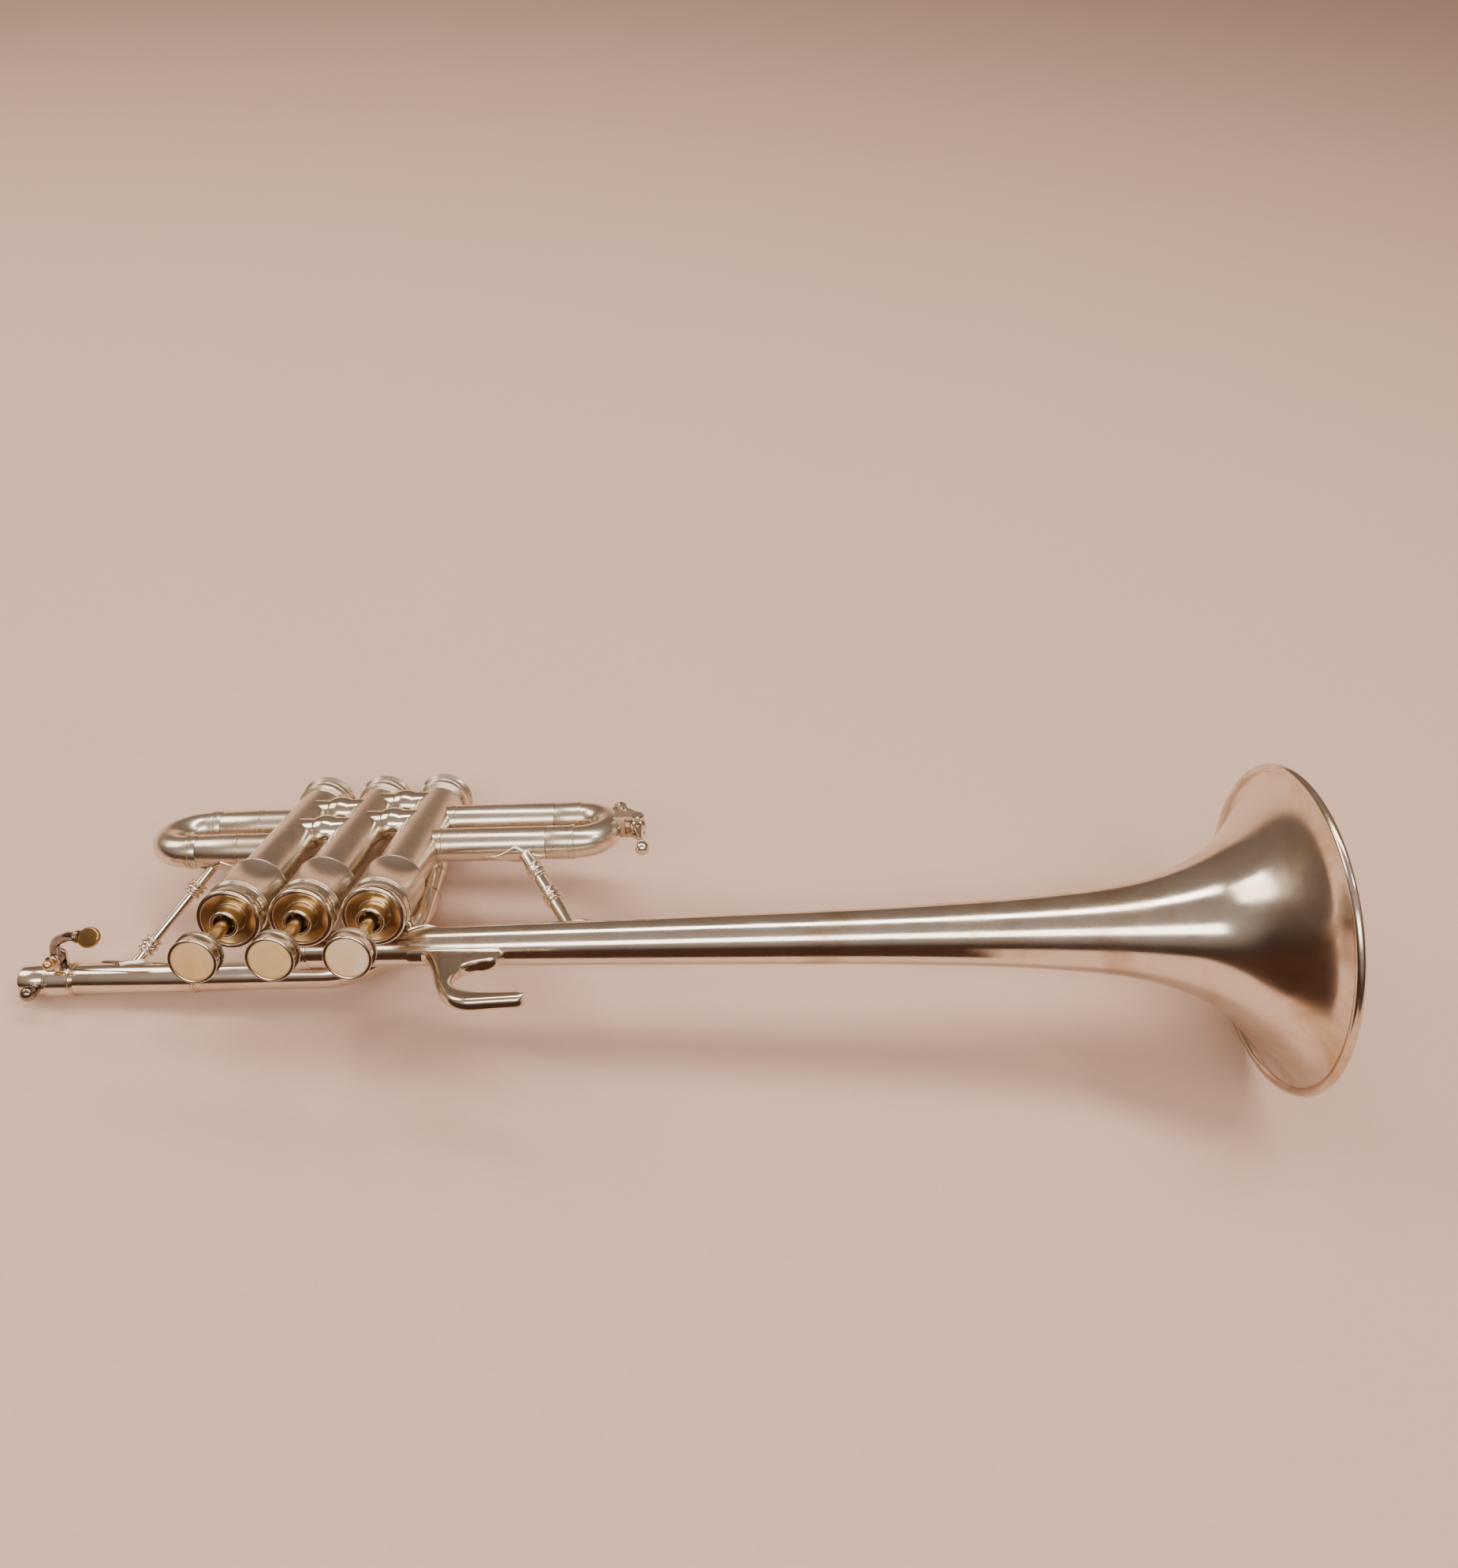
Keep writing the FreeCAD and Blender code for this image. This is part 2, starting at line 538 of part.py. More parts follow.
# ---------------------------------------------------------------- bell
BELL_STATIONS = (                           # distance back from the rim, outer radius
    (0.0, 57.0), (3.2, 49.4), (11.0, 39.0), (20.5, 29.8), (33.5, 22.6), (52.0, 17.0), (80.0, 13.5),
    (130.0, 10.7), (216.0, 8.7), (290.0, 7.4))


def bell():
    """A spun shell that opens slowly along its length and sharply at the rim, with a rolled rim."""
    mouth, wall, bead = size("bell_mouth"), size("bell_wall"), size("bell_bead")
    scale = (size("bell_radius") - bead) / BELL_STATIONS[0][1]
    outer = [Vector(size("bell_start"), size("tail_radius"), 0)]
    for distance, radius in reversed(BELL_STATIONS[1:]):
        outer.append(Vector(mouth - bead - distance, radius, 0))
    outer.append(Vector(mouth - bead, BELL_STATIONS[0][1] * scale, 0))
    curve = Part.BSplineCurve()
    curve.interpolate(outer)
    inner = []
    for step in range(25):
        along = curve.FirstParameter + (curve.LastParameter - curve.FirstParameter) * step / 24
        heading = curve.tangent(along)[0]
        inner.append(curve.value(along) + Vector(heading.y, -heading.x, 0) * wall)
    lining = Part.BSplineCurve()
    lining.interpolate(inner)
    body = doc.addObject("PartDesign::Body", "BellBody")
    sketch = body.newObject("Sketcher::SketchObject", "BellOutline")
    plane = [item for item in body.Origin.OriginFeatures if item.Role == "XY_Plane"][0]
    sketch.AttachmentSupport = [(plane, "")]
    sketch.MapMode = "FlatFace"
    sketch.addGeometry([curve, Part.LineSegment(outer[-1], inner[-1]), lining,
                        Part.LineSegment(inner[0], outer[0])], False)
    turned = body.newObject("PartDesign::Revolution", "BellShell")
    turned.Profile = sketch
    turned.ReferenceAxis = (sketch, ["H_Axis"])
    turned.Angle = 360
    rolled = ring("bell_radius - bell_bead", "bell_bead", ("bell_mouth - bell_bead", "0", "0"), X)
    whole = fused(body, rolled)
    doc.recompute([sketch, turned, body, rolled, whole])
    placed = whole.Shape.copy()
    placed.translate(Vector(0, size("bell_side"), size("bell_height")))
    return placed


BELL = ("bell_side", "bell_height")
bell_shape = bell()
piece("bell", drawn(bell_shape))
piece("bell_tail_ferrule", cut(tube("tail_radius + 0.5", "tail_radius", "8", ("bell_start - 5",) + BELL, X),
                               drawn(bell_shape)))


def bell_bow():
    """The bow from the bell's tail down beside the first casing and into its upper port."""
    wall = 0.7
    valve, side, height = -size("valve_pitch"), size("bell_side"), size("bell_height")
    port = size("low_leg") + size("leg_spacing")
    corners = [Vector(size("bell_start"), side, height), Vector(valve, side, height),
               Vector(valve, side, port), Vector(valve, 0, port)]
    path = rounded_path(corners, [14.0, 9.4])
    shape = rod_along(path, size("tail_radius")).cut(rod_along(path, size("tail_radius") - wall))
    shape = shape.cut(upright(size("casing_radius"), valve, 0, 0, 90))
    piece("bell_bow", drawn(max(shape.Solids, key=lambda solid: solid.Volume)))


bell_bow()


# ---------------------------------------------------------------- braces and hook
def foot_plate(place, tube_way, facing, tube_radius, half_length, half_width, thickness=0.9):
    """A diamond plate with hollow sides, curved over a tube; place is on the tube's axis."""
    across = facing.cross(tube_way).normalize()
    tips = [tube_way * half_length, across * half_width, tube_way * -half_length, across * -half_width]
    edges = []
    for tip, following in zip(tips, tips[1:] + tips[:1]):
        middle = (tip + following) * 0.5 * 0.62
        edges.append(Part.Arc(place + tip, place + middle, place + following).toShape())
    prism = Part.Face(Part.Wire(edges)).extrude(facing * (tube_radius + thickness + 5))
    start = place - tube_way * (half_length + 1)
    sleeve_shape = Part.makeCylinder(tube_radius + thickness, 2 * half_length + 2, start, tube_way)
    return sleeve_shape.common(prism)


def strut(first, last, tube_way, first_radius, last_radius, thick, thin, swells, feet):
    """A brace between two tubes: a thin rod, thicker sockets with collars, and a plate on each tube."""
    way = (last - first).normalize()
    length = (last - first).Length
    shape = Part.makeCylinder(thin, length, first, way)
    for begin, end in swells:
        shape = shape.fuse(Part.makeCylinder(thick, end - begin, first + way * begin, way))
        for collar in (begin + 0.6, end - 0.6):
            shape = shape.fuse(Part.makeTorus(thick, 0.55, first + way * collar, way))
        shape = shape.fuse(Part.makeTorus(thick - 0.35, 1.1, first + way * (begin + end) * 0.5, way))
    for place, facing, tube_radius, half_length, half_width in feet:
        shape = shape.fuse(foot_plate(place, tube_way, facing, tube_radius, half_length, half_width))
    for place, tube_radius in ((first, first_radius), (last, last_radius)):
        shape = shape.cut(Part.makeCylinder(tube_radius, 80, place - tube_way * 40, tube_way))
    return shape.removeSplitter()


def braces():
    low = size("low_leg") + size("leg_spacing")
    side, height = size("leadpipe_side"), size("leadpipe_height")
    leg = size("outer_slide")
    first = Vector(-84.0, side, height)
    last = Vector(-50.5, 0, low)
    way = (last - first).normalize()
    toward = way - X * way.dot(X)
    span = (last - first).Length
    left = strut(first, last, X, size("sleeve_radius"), leg, 2.9, 1.75,
                 [(5.0, 12.5), (12.5, 18.0), (span - 21.0, span - 16.0), (span - 16.0, span - 6.0)],
                 [(first, toward.normalize(), size("sleeve_radius"), 12.0, 4.6),
                  (last, toward * -1, leg, 10.5, 4.6)])
    piece("left_brace", drawn(left))

    first = Vector(66.0, 0, low)
    last = Vector(95.0, size("bell_side"), size("bell_height"))
    way = (last - first).normalize()
    toward = (way - X * way.dot(X)).normalize()
    flare = 8.15
    right = strut(first, last, X, leg, flare, 2.75, 2.3, [(13.5, 21.0), (28.0, 36.0)],
                  [(first, toward, leg, 12.0, 4.8), (last, toward * -1, flare, 18.0, 5.0)])
    right = right.cut(bell_shape)
    piece("right_brace", drawn(max(right.Solids, key=lambda solid: solid.Volume)))


braces()


def bell_tail_brace():
    """A short saddle that ties the third casing's upper chamber to the bell's tail."""
    valve, side, height = size("valve_pitch"), size("bell_side"), size("bell_height")
    first = Vector(valve + 6.5, -6.0, height - 5.0)
    last = Vector(valve + 8.0, side, height)
    way = (last - first).normalize()
    post = Part.makeCylinder(1.8, (last - first).Length, first, way)
    toward = (way - X * way.dot(X)).normalize() * -1
    plate = foot_plate(last, X, toward, 7.35, 9.0, 4.6)
    shape = post.fuse(plate).cut(upright(size("chamber_radius"), valve, 0, 79, 98.4))
    shape = shape.cut(Part.makeCylinder(6.5, 60, Vector(valve - 20, side, height), X)).cut(bell_shape)
    piece("bell_tail_brace", drawn(max(shape.Solids, key=lambda solid: solid.Volume)))


bell_tail_brace()


def finger_hook():
    """A hook for the little finger: a strap on the bell tube, a web, and a round prong."""
    side, height = size("bell_side"), size("bell_height")
    strap = Part.makeBox(34.5, 6.4, 6, Vector(33.6, side - 3.2, height + 5.0))
    strap = strap.common(Part.makeCylinder(8.3, 40, Vector(32, side, height), X))
    base = height + 7.0
    points = {"heel": (43.5, base), "waist": (47.6, base + 12.0), "knee": (51.5, base + 21.5),
              "sole": (61.0, base + 31.9), "end": (66.0, base + 31.9), "end_in": (66.0, base + 26.7),
              "back": (54.3, base + 15.0), "neck": (65.5, base + 3.6), "toe": (67.6, base)}
    spot = {name: Vector(x, side - 2.4, z) for name, (x, z) in points.items()}
    corner = Vector(54.4, side - 2.4, base + 29.3)
    outline = [Part.Arc(spot["heel"], spot["waist"], spot["knee"]),
               Part.Arc(spot["knee"], corner, spot["sole"]),
               Part.LineSegment(spot["sole"], spot["end"]), Part.LineSegment(spot["end"], spot["end_in"]),
               Part.Arc(spot["end_in"], spot["back"], spot["neck"]),
               Part.LineSegment(spot["neck"], spot["toe"]), Part.LineSegment(spot["toe"], spot["heel"])]
    web = Part.Face(Part.Wire([edge.toShape() for edge in outline])).extrude(Vector(0, 4.8, 0))
    prong_middle = Vector(59.5, side, base + 29.3)
    prong = Part.makeCylinder(2.9, 18.0, prong_middle, X).fuse(Part.makeSphere(2.9, prong_middle + X * 18.0))
    web = web.fuse(prong).fuse(Part.makeSphere(2.9, prong_middle))
    shape = web.fuse(strap).cut(bell_shape).cut(Part.makeCylinder(6.8, 60, Vector(25, side, height), X))
    piece("finger_hook", drawn(max(shape.removeSplitter().Solids, key=lambda solid: solid.Volume)))


finger_hook()


# ---------------------------------------------------------------- water key on the third slide
def water_key():
    """A sprung lever on the third slide's bow. Its cork closes a small hole in the bow's corner."""
    bow_middle = Vector(size("third_bow"), 0, size("low_leg") + size("leg_spacing") / 2)
    half, wire = size("leg_spacing") / 2, size("bow_radius")
    side, pin = 2.5, 1.0
    pivot = Vector(bow_middle.x + half + wire + 6.0, side, bow_middle.z + 3.5)
    bow_solid = Part.makeTorus(half, wire, bow_middle, Y)
    corner = Vector(math.cos(math.radians(42)), 0, -math.sin(math.radians(42)))

    nipple_foot = bow_middle + corner * (half + 3.0) + Vector(0, side, 0)
    nipple = Part.makeCylinder(1.9, wire - 3.0 + 1.0, nipple_foot, corner).cut(bow_solid)
    saddle = Part.makeBox(8.0, 8.8, 6.0, Vector(pivot.x - 9.5, side - 4.4, pivot.z - 5.0))
    ears = Part.makeCylinder(2.7, 8.8, pivot - Y * 4.4, Y)
    slot = Part.makeCylinder(5.3, 6.2, pivot - Y * 3.1, Y)
    pin_hole = Part.makeCylinder(pin, 12, pivot - Y * 6, Y)
    saddle = saddle.fuse(ears).cut(slot).cut(bow_solid).cut(pin_hole)
    solids = [max(shape.Solids, key=lambda solid: solid.Volume) for shape in (saddle, nipple)]
    bore = Part.makeCylinder(1.0, 6, nipple_foot - corner, corner)
    piece("water_key_saddle", drawn(Part.makeCompound([solid.cut(bore) for solid in solids])))
    screw = Part.makeCylinder(pin, 8.8, pivot - Y * 4.4, Y)
    head = Part.makeCylinder(1.9, 0.9, pivot + Y * 4.4, Y)
    piece("water_key_screw", drawn(screw.fuse(head)))

    cork_foot = bow_middle + corner * (half + wire + 1.0) + Vector(0, side, 0)
    cork = Part.makeCylinder(2.6, 1.3, cork_foot, corner)
    piece("water_key_cork", drawn(cork))
    cup = Part.makeCylinder(3.1, 2.2, cork_foot + corner * 0.6, corner)
    dome = Part.makeSphere(4.1, cork_foot + corner * 0.1)
    cup = cup.fuse(dome.common(Part.makeCylinder(3.1, 5.0, cork_foot + corner * 2.0, corner)))
    hub = Part.makeSphere(3.5, pivot).common(Part.makeCylinder(3.6, 6.0, pivot - Y * 3.0, Y))
    cup_middle = cork_foot + corner * 2.4
    elbow = Vector(pivot.x - 1.0, side, pivot.z - 11.0)
    arm = rod_along(rounded_path([pivot, elbow, cup_middle], [6.0]), 1.3)
    touch = Vector(pivot.x + 3.4, side, pivot.z + 21.0)
    reach = touch - pivot
    neck = Part.makeCone(2.4, 1.2, reach.Length, pivot, reach)
    lever = hub.fuse(neck).fuse(arm).fuse(Part.makeSphere(2.8, touch)).fuse(cup)
    lever = lever.cut(Part.makeCylinder(pin + FIT, 12, pivot - Y * 6, Y)).cut(cork)
    piece("water_key_lever", drawn(max(lever.Solids, key=lambda solid: solid.Volume)))


water_key()


# ---------------------------------------------------------------- laying the instrument down
def lowest(middle, radius, normal, up):
    """The lowest point of a circle of this radius and normal, with up pointing up."""
    down = up * -1 + normal * up.dot(normal)
    return middle + down.normalize() * radius


def resting_up():
    """The direction that points up when the bell's rim, the clamp and the second slide touch a table."""
    rim = Vector(size("bell_mouth") - size("bell_bead"), size("bell_side"), size("bell_height"))
    clamp = Vector(size("sleeve_back") + 5.0, size("leadpipe_side"), size("leadpipe_height"))
    bow = Vector(0, -size("second_bow"), size("second_low_leg") + size("second_spacing") / 2)
    up = Vector(0.06, 0.9, 0.42).normalize()
    for settle in range(30):
        bow_wire = lowest(bow, size("second_spacing") / 2, X, up) - up * size("bow_radius")
        contacts = [lowest(rim, size("bell_radius") - size("bell_bead"), X, up) - up * size("bell_bead"),
                    lowest(clamp, size("clamp_radius"), X, up), bow_wire]
        normal = (contacts[0] - contacts[2]).cross(contacts[1] - contacts[2]).normalize()
        up = normal if normal.y > 0 else normal * -1
    return up


def rest_placement(shapes):
    up = resting_up()
    forward = (X - up * X.dot(up)).normalize()
    across = up.cross(forward)
    turn = Matrix(forward.x, forward.y, forward.z, 0, across.x, across.y, across.z, 0,
                  up.x, up.y, up.z, 0, 0, 0, 0, 1)
    rotation = Placement(turn).Rotation
    corners = []
    for shape in shapes:
        points = shape.tessellate(0.3)[0]
        corners += [rotation.multVec(point) for point in points]
    low = Vector(*[min(getattr(point, axis) for point in corners) for axis in "xyz"])
    high = Vector(*[max(getattr(point, axis) for point in corners) for axis in "xyz"])
    middle = (low + high) * 0.5
    return Placement(Vector(-middle.x, -middle.y, -low.z), rotation)


doc.recompute()
REST = rest_placement([item.Shape for item in PIECES.values()])
for item in PIECES.values():
    item.Placement = REST.multiply(item.Placement)

for item in doc.Objects:
    if "Invalid" in item.State or "Error" in item.State:
        raise RuntimeError(f"{item.Name} ({item.Label}) failed: {item.State}")
for node, item in PIECES.items():
    if item.Shape.isNull() or not item.Shape.isValid() or not item.Shape.Solids:
        raise RuntimeError(f"{node} has no valid shape")

os.makedirs("parts", exist_ok=True)
for node, item in PIECES.items():
    item.Shape.exportStep(f"parts/{node}.step")
print(len(PIECES), "pieces")
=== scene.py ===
"""The looks of a small silver-plated cornet that lies on its right side on a pale table.

Pieces are drawn in the instrument's own frame, in millimetres: x runs forward to the bell, y to the
player's left and z up the valves to the finger buttons. INSTRUMENT takes them to the table's frame.
"""
import json
import math
import bpy
import bmesh
from mathutils import Matrix, Quaternion, Vector


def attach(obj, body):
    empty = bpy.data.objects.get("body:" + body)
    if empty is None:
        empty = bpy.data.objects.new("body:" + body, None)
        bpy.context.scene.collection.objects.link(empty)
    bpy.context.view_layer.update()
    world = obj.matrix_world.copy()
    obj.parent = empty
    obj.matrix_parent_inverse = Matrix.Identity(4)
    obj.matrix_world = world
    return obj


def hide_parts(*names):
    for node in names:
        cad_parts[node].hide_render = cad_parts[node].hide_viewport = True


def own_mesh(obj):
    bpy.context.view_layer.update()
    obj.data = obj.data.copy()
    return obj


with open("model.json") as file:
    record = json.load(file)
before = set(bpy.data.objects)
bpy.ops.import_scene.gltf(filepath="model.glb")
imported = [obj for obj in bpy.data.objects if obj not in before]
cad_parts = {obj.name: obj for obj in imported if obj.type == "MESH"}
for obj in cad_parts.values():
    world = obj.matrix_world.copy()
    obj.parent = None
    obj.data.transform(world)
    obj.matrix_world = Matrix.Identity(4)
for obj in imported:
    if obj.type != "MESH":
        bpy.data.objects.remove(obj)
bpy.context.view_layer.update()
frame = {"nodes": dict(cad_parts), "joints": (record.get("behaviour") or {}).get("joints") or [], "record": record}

MM = 0.001
X, Y, Z = Vector((1, 0, 0)), Vector((0, 1, 0)), Vector((0, 0, 1))

# ---------------------------------------------------------------- the instrument's frame
JOINTS = {joint["name"]: joint for joint in frame["joints"]}
FORWARD = Vector(JOINTS["third_slide_pull"]["axis"])
LEFT = -Vector(JOINTS["second_slide_pull"]["axis"])
ALONG_VALVES = -Vector(JOINTS["valve_1_press"]["axis"])
SLEEVE_BACK, SLEEVE_RADIUS, LEADPIPE_SIDE, LEADPIPE_HEIGHT = -112.4, 5.9, -38.0, 79.4
CLAMP_PIVOT = Vector((SLEEVE_BACK + 4.4, LEADPIPE_SIDE + SLEEVE_RADIUS + 3.4, LEADPIPE_HEIGHT))
ZERO = Vector(JOINTS["clamp_lever_turn"]["pos_m"]) - MM * (
    FORWARD * CLAMP_PIVOT.x + LEFT * CLAMP_PIVOT.y + ALONG_VALVES * CLAMP_PIVOT.z)
TURN = Matrix((FORWARD, LEFT, ALONG_VALVES)).transposed().to_4x4()
INSTRUMENT = Matrix.Translation(ZERO) @ TURN @ Matrix.Scale(MM, 4)

VALVE_PITCH = 25.5
VALVES = {1: -VALVE_PITCH, 2: 0.0, 3: VALVE_PITCH}
BELL_SIDE, BELL_HEIGHT, BELL_MOUTH, BELL_START = -19.0, 94.4, 346.0, -6.0
TAIL_RADIUS, BELL_WALL = 6.5, 0.7           # the bell's narrow end, and its metal
CASING_WALL = 9.1                           # a casing's middle radius, where a tube that enters it ends
SLIDE_RADIUS = 6.65                         # outer tubes of the slides
LOW_PORT, HIGH_PORT = 24.7, 48.3            # heights of the first and third slides' two tubes
ENTRY = 10.0                                # the straight end of a bow before it enters a casing
BEND_STEP = 1.5                             # distance between the rings of a bent tube
BUTTON_FACE = 134.8                         # height of the buttons' tops above the casings' feet
WIRE_SIDES, ROD_SIDES, TUBE_SIDES, CASING_SIDES, FLARE_SIDES = 48, 64, 96, 128, 192


# ---------------------------------------------------------------- materials
class Shader:
    """The nodes of a material or of a world, made and joined by short calls."""

    def __init__(self, name, kind="materials", surface="Principled BSDF", place="Object"):
        self.owner = getattr(bpy.data, kind).new(name)
        self.owner.use_nodes = True
        self.nodes, self.links = self.owner.node_tree.nodes, self.owner.node_tree.links
        self.surface = self.nodes[surface]
        self.place = self.nodes.new("ShaderNodeTexCoord").outputs[place]

    def node(self, kind, **inputs):
        made = self.nodes.new("ShaderNode" + kind)
        for key, value in inputs.items():
            self.feed(made.inputs[key.replace("_", " ")], value)
        return made

    def feed(self, socket, value):
        if isinstance(value, bpy.types.NodeSocket):
            self.links.new(value, socket)
        else:
            socket.default_value = value

    def stretched(self, scale, turn=(0, 0, 0)):
        """The place in metres, stretched, for streaks."""
        return self.node("Mapping", Vector=self.place, Scale=scale, Rotation=turn).outputs["Vector"]

    def noise(self, scale, detail=4.0, rough=0.55, place=None, distortion=0.0):
        made = self.node("TexNoise", Vector=place or self.place, Scale=scale, Detail=detail,
                         Roughness=rough, Distortion=distortion)
        return made.outputs["Fac"]

    def ramp(self, value, *stops):
        made = self.node("ValToRGB", Fac=value)
        elements = made.color_ramp.elements
        while len(elements) < len(stops):
            elements.new(0.5)
        for element, (position, colour) in zip(elements, stops):
            element.position = position
            element.color = (*colour, 1.0) if isinstance(colour, tuple) else (colour, colour, colour, 1.0)
        return made.outputs["Color"]

    def range(self, value, low, high, to_low, to_high):
        made = self.node("MapRange", Value=value)
        for key, number in (("From Min", low), ("From Max", high), ("To Min", to_low), ("To Max", to_high)):
            made.inputs[key].default_value = number
        return made.outputs["Result"]

    def mix(self, factor, first, second, blend="MIX"):
        made = self.nodes.new("ShaderNodeMix")
        made.data_type = "RGBA"
        made.blend_type = blend
        for socket, value in zip((made.inputs[0], made.inputs[6], made.inputs[7]), (factor, first, second)):
            if isinstance(value, tuple):
                value = (*value, 1.0)
            self.feed(socket, value)
        return made.outputs[2]

    def math(self, operation, first, second=0.0):
        made = self.nodes.new("ShaderNodeMath")
        made.operation = operation
        self.feed(made.inputs[0], first)
        self.feed(made.inputs[1], second)
        return made.outputs[0]

    def bump(self, height, distance, strength=1.0, under=None):
        made = self.node("Bump", Height=height, Distance=distance, Strength=strength)
        if under is not None:
            self.feed(made.inputs["Normal"], under)
        return made.outputs["Normal"]

    def set(self, **inputs):
        for key, value in inputs.items():
            if key.endswith("Color"):
                value = (*value, 1.0) if isinstance(value, tuple) else value
            self.feed(self.surface.inputs[key.replace("_", " ")], value)


def polished(name, metal, tarnish, patches, roughness, scratches=1.0, waviness=0.05):
    """Polished metal: faint waves from the burnisher, fine scratches, smears and tarnish in patches.
    patches is how much of the surface the tarnish takes, from 0 to 1."""
    shade = Shader(name)
    edge = 0.62 - 0.3 * patches
    cloud = shade.ramp(shade.noise(28.0, 6.0, 0.62, distortion=0.6), (edge, 0.0), (edge + 0.22, 1.0))
    speck = shade.ramp(shade.noise(420.0, 3.0, 0.6), (0.62, 0.0), (0.78, 0.6))
    dull = shade.math("MAXIMUM", shade.math("MULTIPLY", cloud, 0.75),
                      shade.math("MULTIPLY", speck, 0.35 * patches))
    shade.set(Base_Color=shade.mix(dull, metal, tarnish), Metallic=1.0)
    smear = shade.range(shade.noise(70.0, 5.0, 0.7), 0.35, 0.7, 0.0, 0.07)
    rough = shade.math("ADD", shade.math("ADD", smear, roughness), shade.math("MULTIPLY", dull, 0.10))
    shade.set(Roughness=rough)
    waves = shade.bump(shade.noise(48.0, 2.0, 0.5), 0.00010, waviness)
    lengthwise = shade.noise(60.0, 3.0, 0.7, place=shade.stretched((1.0, 26.0, 26.0), (0.0, 0.05, 0.08)))
    round_it = shade.noise(60.0, 3.0, 0.7, place=shade.stretched((34.0, 2.0, 2.0), (0.1, 0.0, 0.3)))
    crossing = shade.noise(45.0, 3.0, 0.7, place=shade.stretched((3.0, 40.0, 6.0), (0.5, 0.2, 0.9)))
    lines = shade.math("ADD", lengthwise, shade.math("ADD", round_it, crossing))
    shade.set(Normal=shade.bump(lines, 0.000008, 0.16 * scratches, waves))
    return shade.owner


def pearl(name, cream, shell, glint):
    """Mother-of-pearl: soft layers of cream and grey under a clear polish."""
    shade = Shader(name)
    layers = shade.noise(95.0, 4.0, 0.55, shade.stretched((1.0, 2.6, 1.0), (0.3, 0.5, 0.9)), 1.6)
    fine = shade.noise(900.0, 4.0, 0.6, place=shade.stretched((1.0, 0.25, 1.0), (0.0, 0.4, 0.7)))
    colour = shade.mix(shade.ramp(layers, (0.3, 0.0), (0.7, 1.0)), cream, shell)
    shine = shade.ramp(shade.noise(160.0, 2.0, 0.5), (0.5, 0.0), (0.66, glint))
    colour = shade.mix(shine, colour, (0.93, 0.86, 0.84))
    shade.set(Base_Color=shade.mix(shade.math("MULTIPLY", fine, 0.16), colour, (0.55, 0.42, 0.26)))
    shade.set(Roughness=0.34, Subsurface_Weight=0.15, Subsurface_Radius=(0.004, 0.003, 0.002),
              Coat_Weight=0.4, Coat_Roughness=0.12, Sheen_Weight=0.05)
    shade.set(Normal=shade.bump(layers, 0.00002, 0.4))
    return shade.owner


def felt(name):
    shade = Shader(name)
    fibre = shade.noise(2600.0, 6.0, 0.75, distortion=1.5)
    shade.set(Base_Color=shade.mix(fibre, (0.12, 0.02, 0.02), (0.30, 0.07, 0.06)), Roughness=0.95,
              Sheen_Weight=0.6, Normal=shade.bump(fibre, 0.0002, 0.8))
    return shade.owner


def cork(name):
    shade = Shader(name)
    grains = shade.node("TexVoronoi", Vector=shade.place, Scale=1900.0).outputs["Distance"]
    shade.set(Base_Color=shade.ramp(grains, (0.1, (0.20, 0.10, 0.04)), (0.5, (0.55, 0.35, 0.18))),
              Roughness=0.8, Normal=shade.bump(grains, 0.0001, 0.7))
    return shade.owner


def table_top():
    shade = Shader("table_top")
    fibre = shade.noise(260.0, 6.0, 0.7)
    cloud = shade.noise(9.0, 3.0, 0.5)
    paper = shade.mix(fibre, (0.70, 0.475, 0.37), (0.80, 0.555, 0.44))
    colour = shade.mix(shade.math("MULTIPLY", cloud, 0.25), paper, (0.84, 0.61, 0.49))
    shade.set(Base_Color=colour, Roughness=0.85, Normal=shade.bump(fibre, 0.0002, 0.15))
    return shade.owner


SILVER = polished("silver_plate", (0.78, 0.70, 0.58), (0.54, 0.40, 0.23), patches=0.34, roughness=0.12)
SATIN_SILVER = polished("satin_silver", (0.75, 0.67, 0.55), (0.56, 0.43, 0.27),
                        patches=0.38, roughness=0.22)
BELL_SILVER = polished("bell_silver", (0.79, 0.71, 0.61), (0.48, 0.32, 0.15),
                       patches=0.5, roughness=0.12, scratches=3.0, waviness=0.06)
CAP_SILVER = polished("cap_silver", (0.76, 0.67, 0.54), (0.52, 0.38, 0.20),
                      patches=0.45, roughness=0.14, scratches=1.0, waviness=0.03)
DARK_SILVER = polished("dark_silver", (0.34, 0.27, 0.24), (0.16, 0.11, 0.09), patches=0.6, roughness=0.12)
BRASS = polished("bare_brass", (0.62, 0.42, 0.19), (0.34, 0.19, 0.06),
                 patches=0.5, roughness=0.26, scratches=1.0, waviness=0.03)
STEM_BRASS = polished("stem_brass", (0.78, 0.58, 0.31), (0.42, 0.27, 0.12),
                      patches=0.45, roughness=0.2, scratches=1.0, waviness=0.03)
VALVE_METAL = polished("valve_metal", (0.60, 0.57, 0.52), (0.40, 0.36, 0.30), patches=0.3, roughness=0.24)
SPRING_STEEL = polished("spring_steel", (0.45, 0.45, 0.46), (0.25, 0.20, 0.15), patches=0.3, roughness=0.2)
PEARLS = {1: pearl("pearl_first", (0.85, 0.54, 0.21), (0.93, 0.65, 0.31), 0.12),
          2: pearl("pearl_second", (0.84, 0.55, 0.21), (0.92, 0.66, 0.30), 0.12),
          3: pearl("pearl_third", (0.92, 0.63, 0.34), (0.97, 0.77, 0.50), 0.5)}
FELT = felt("felt")
CORK = cork("cork")

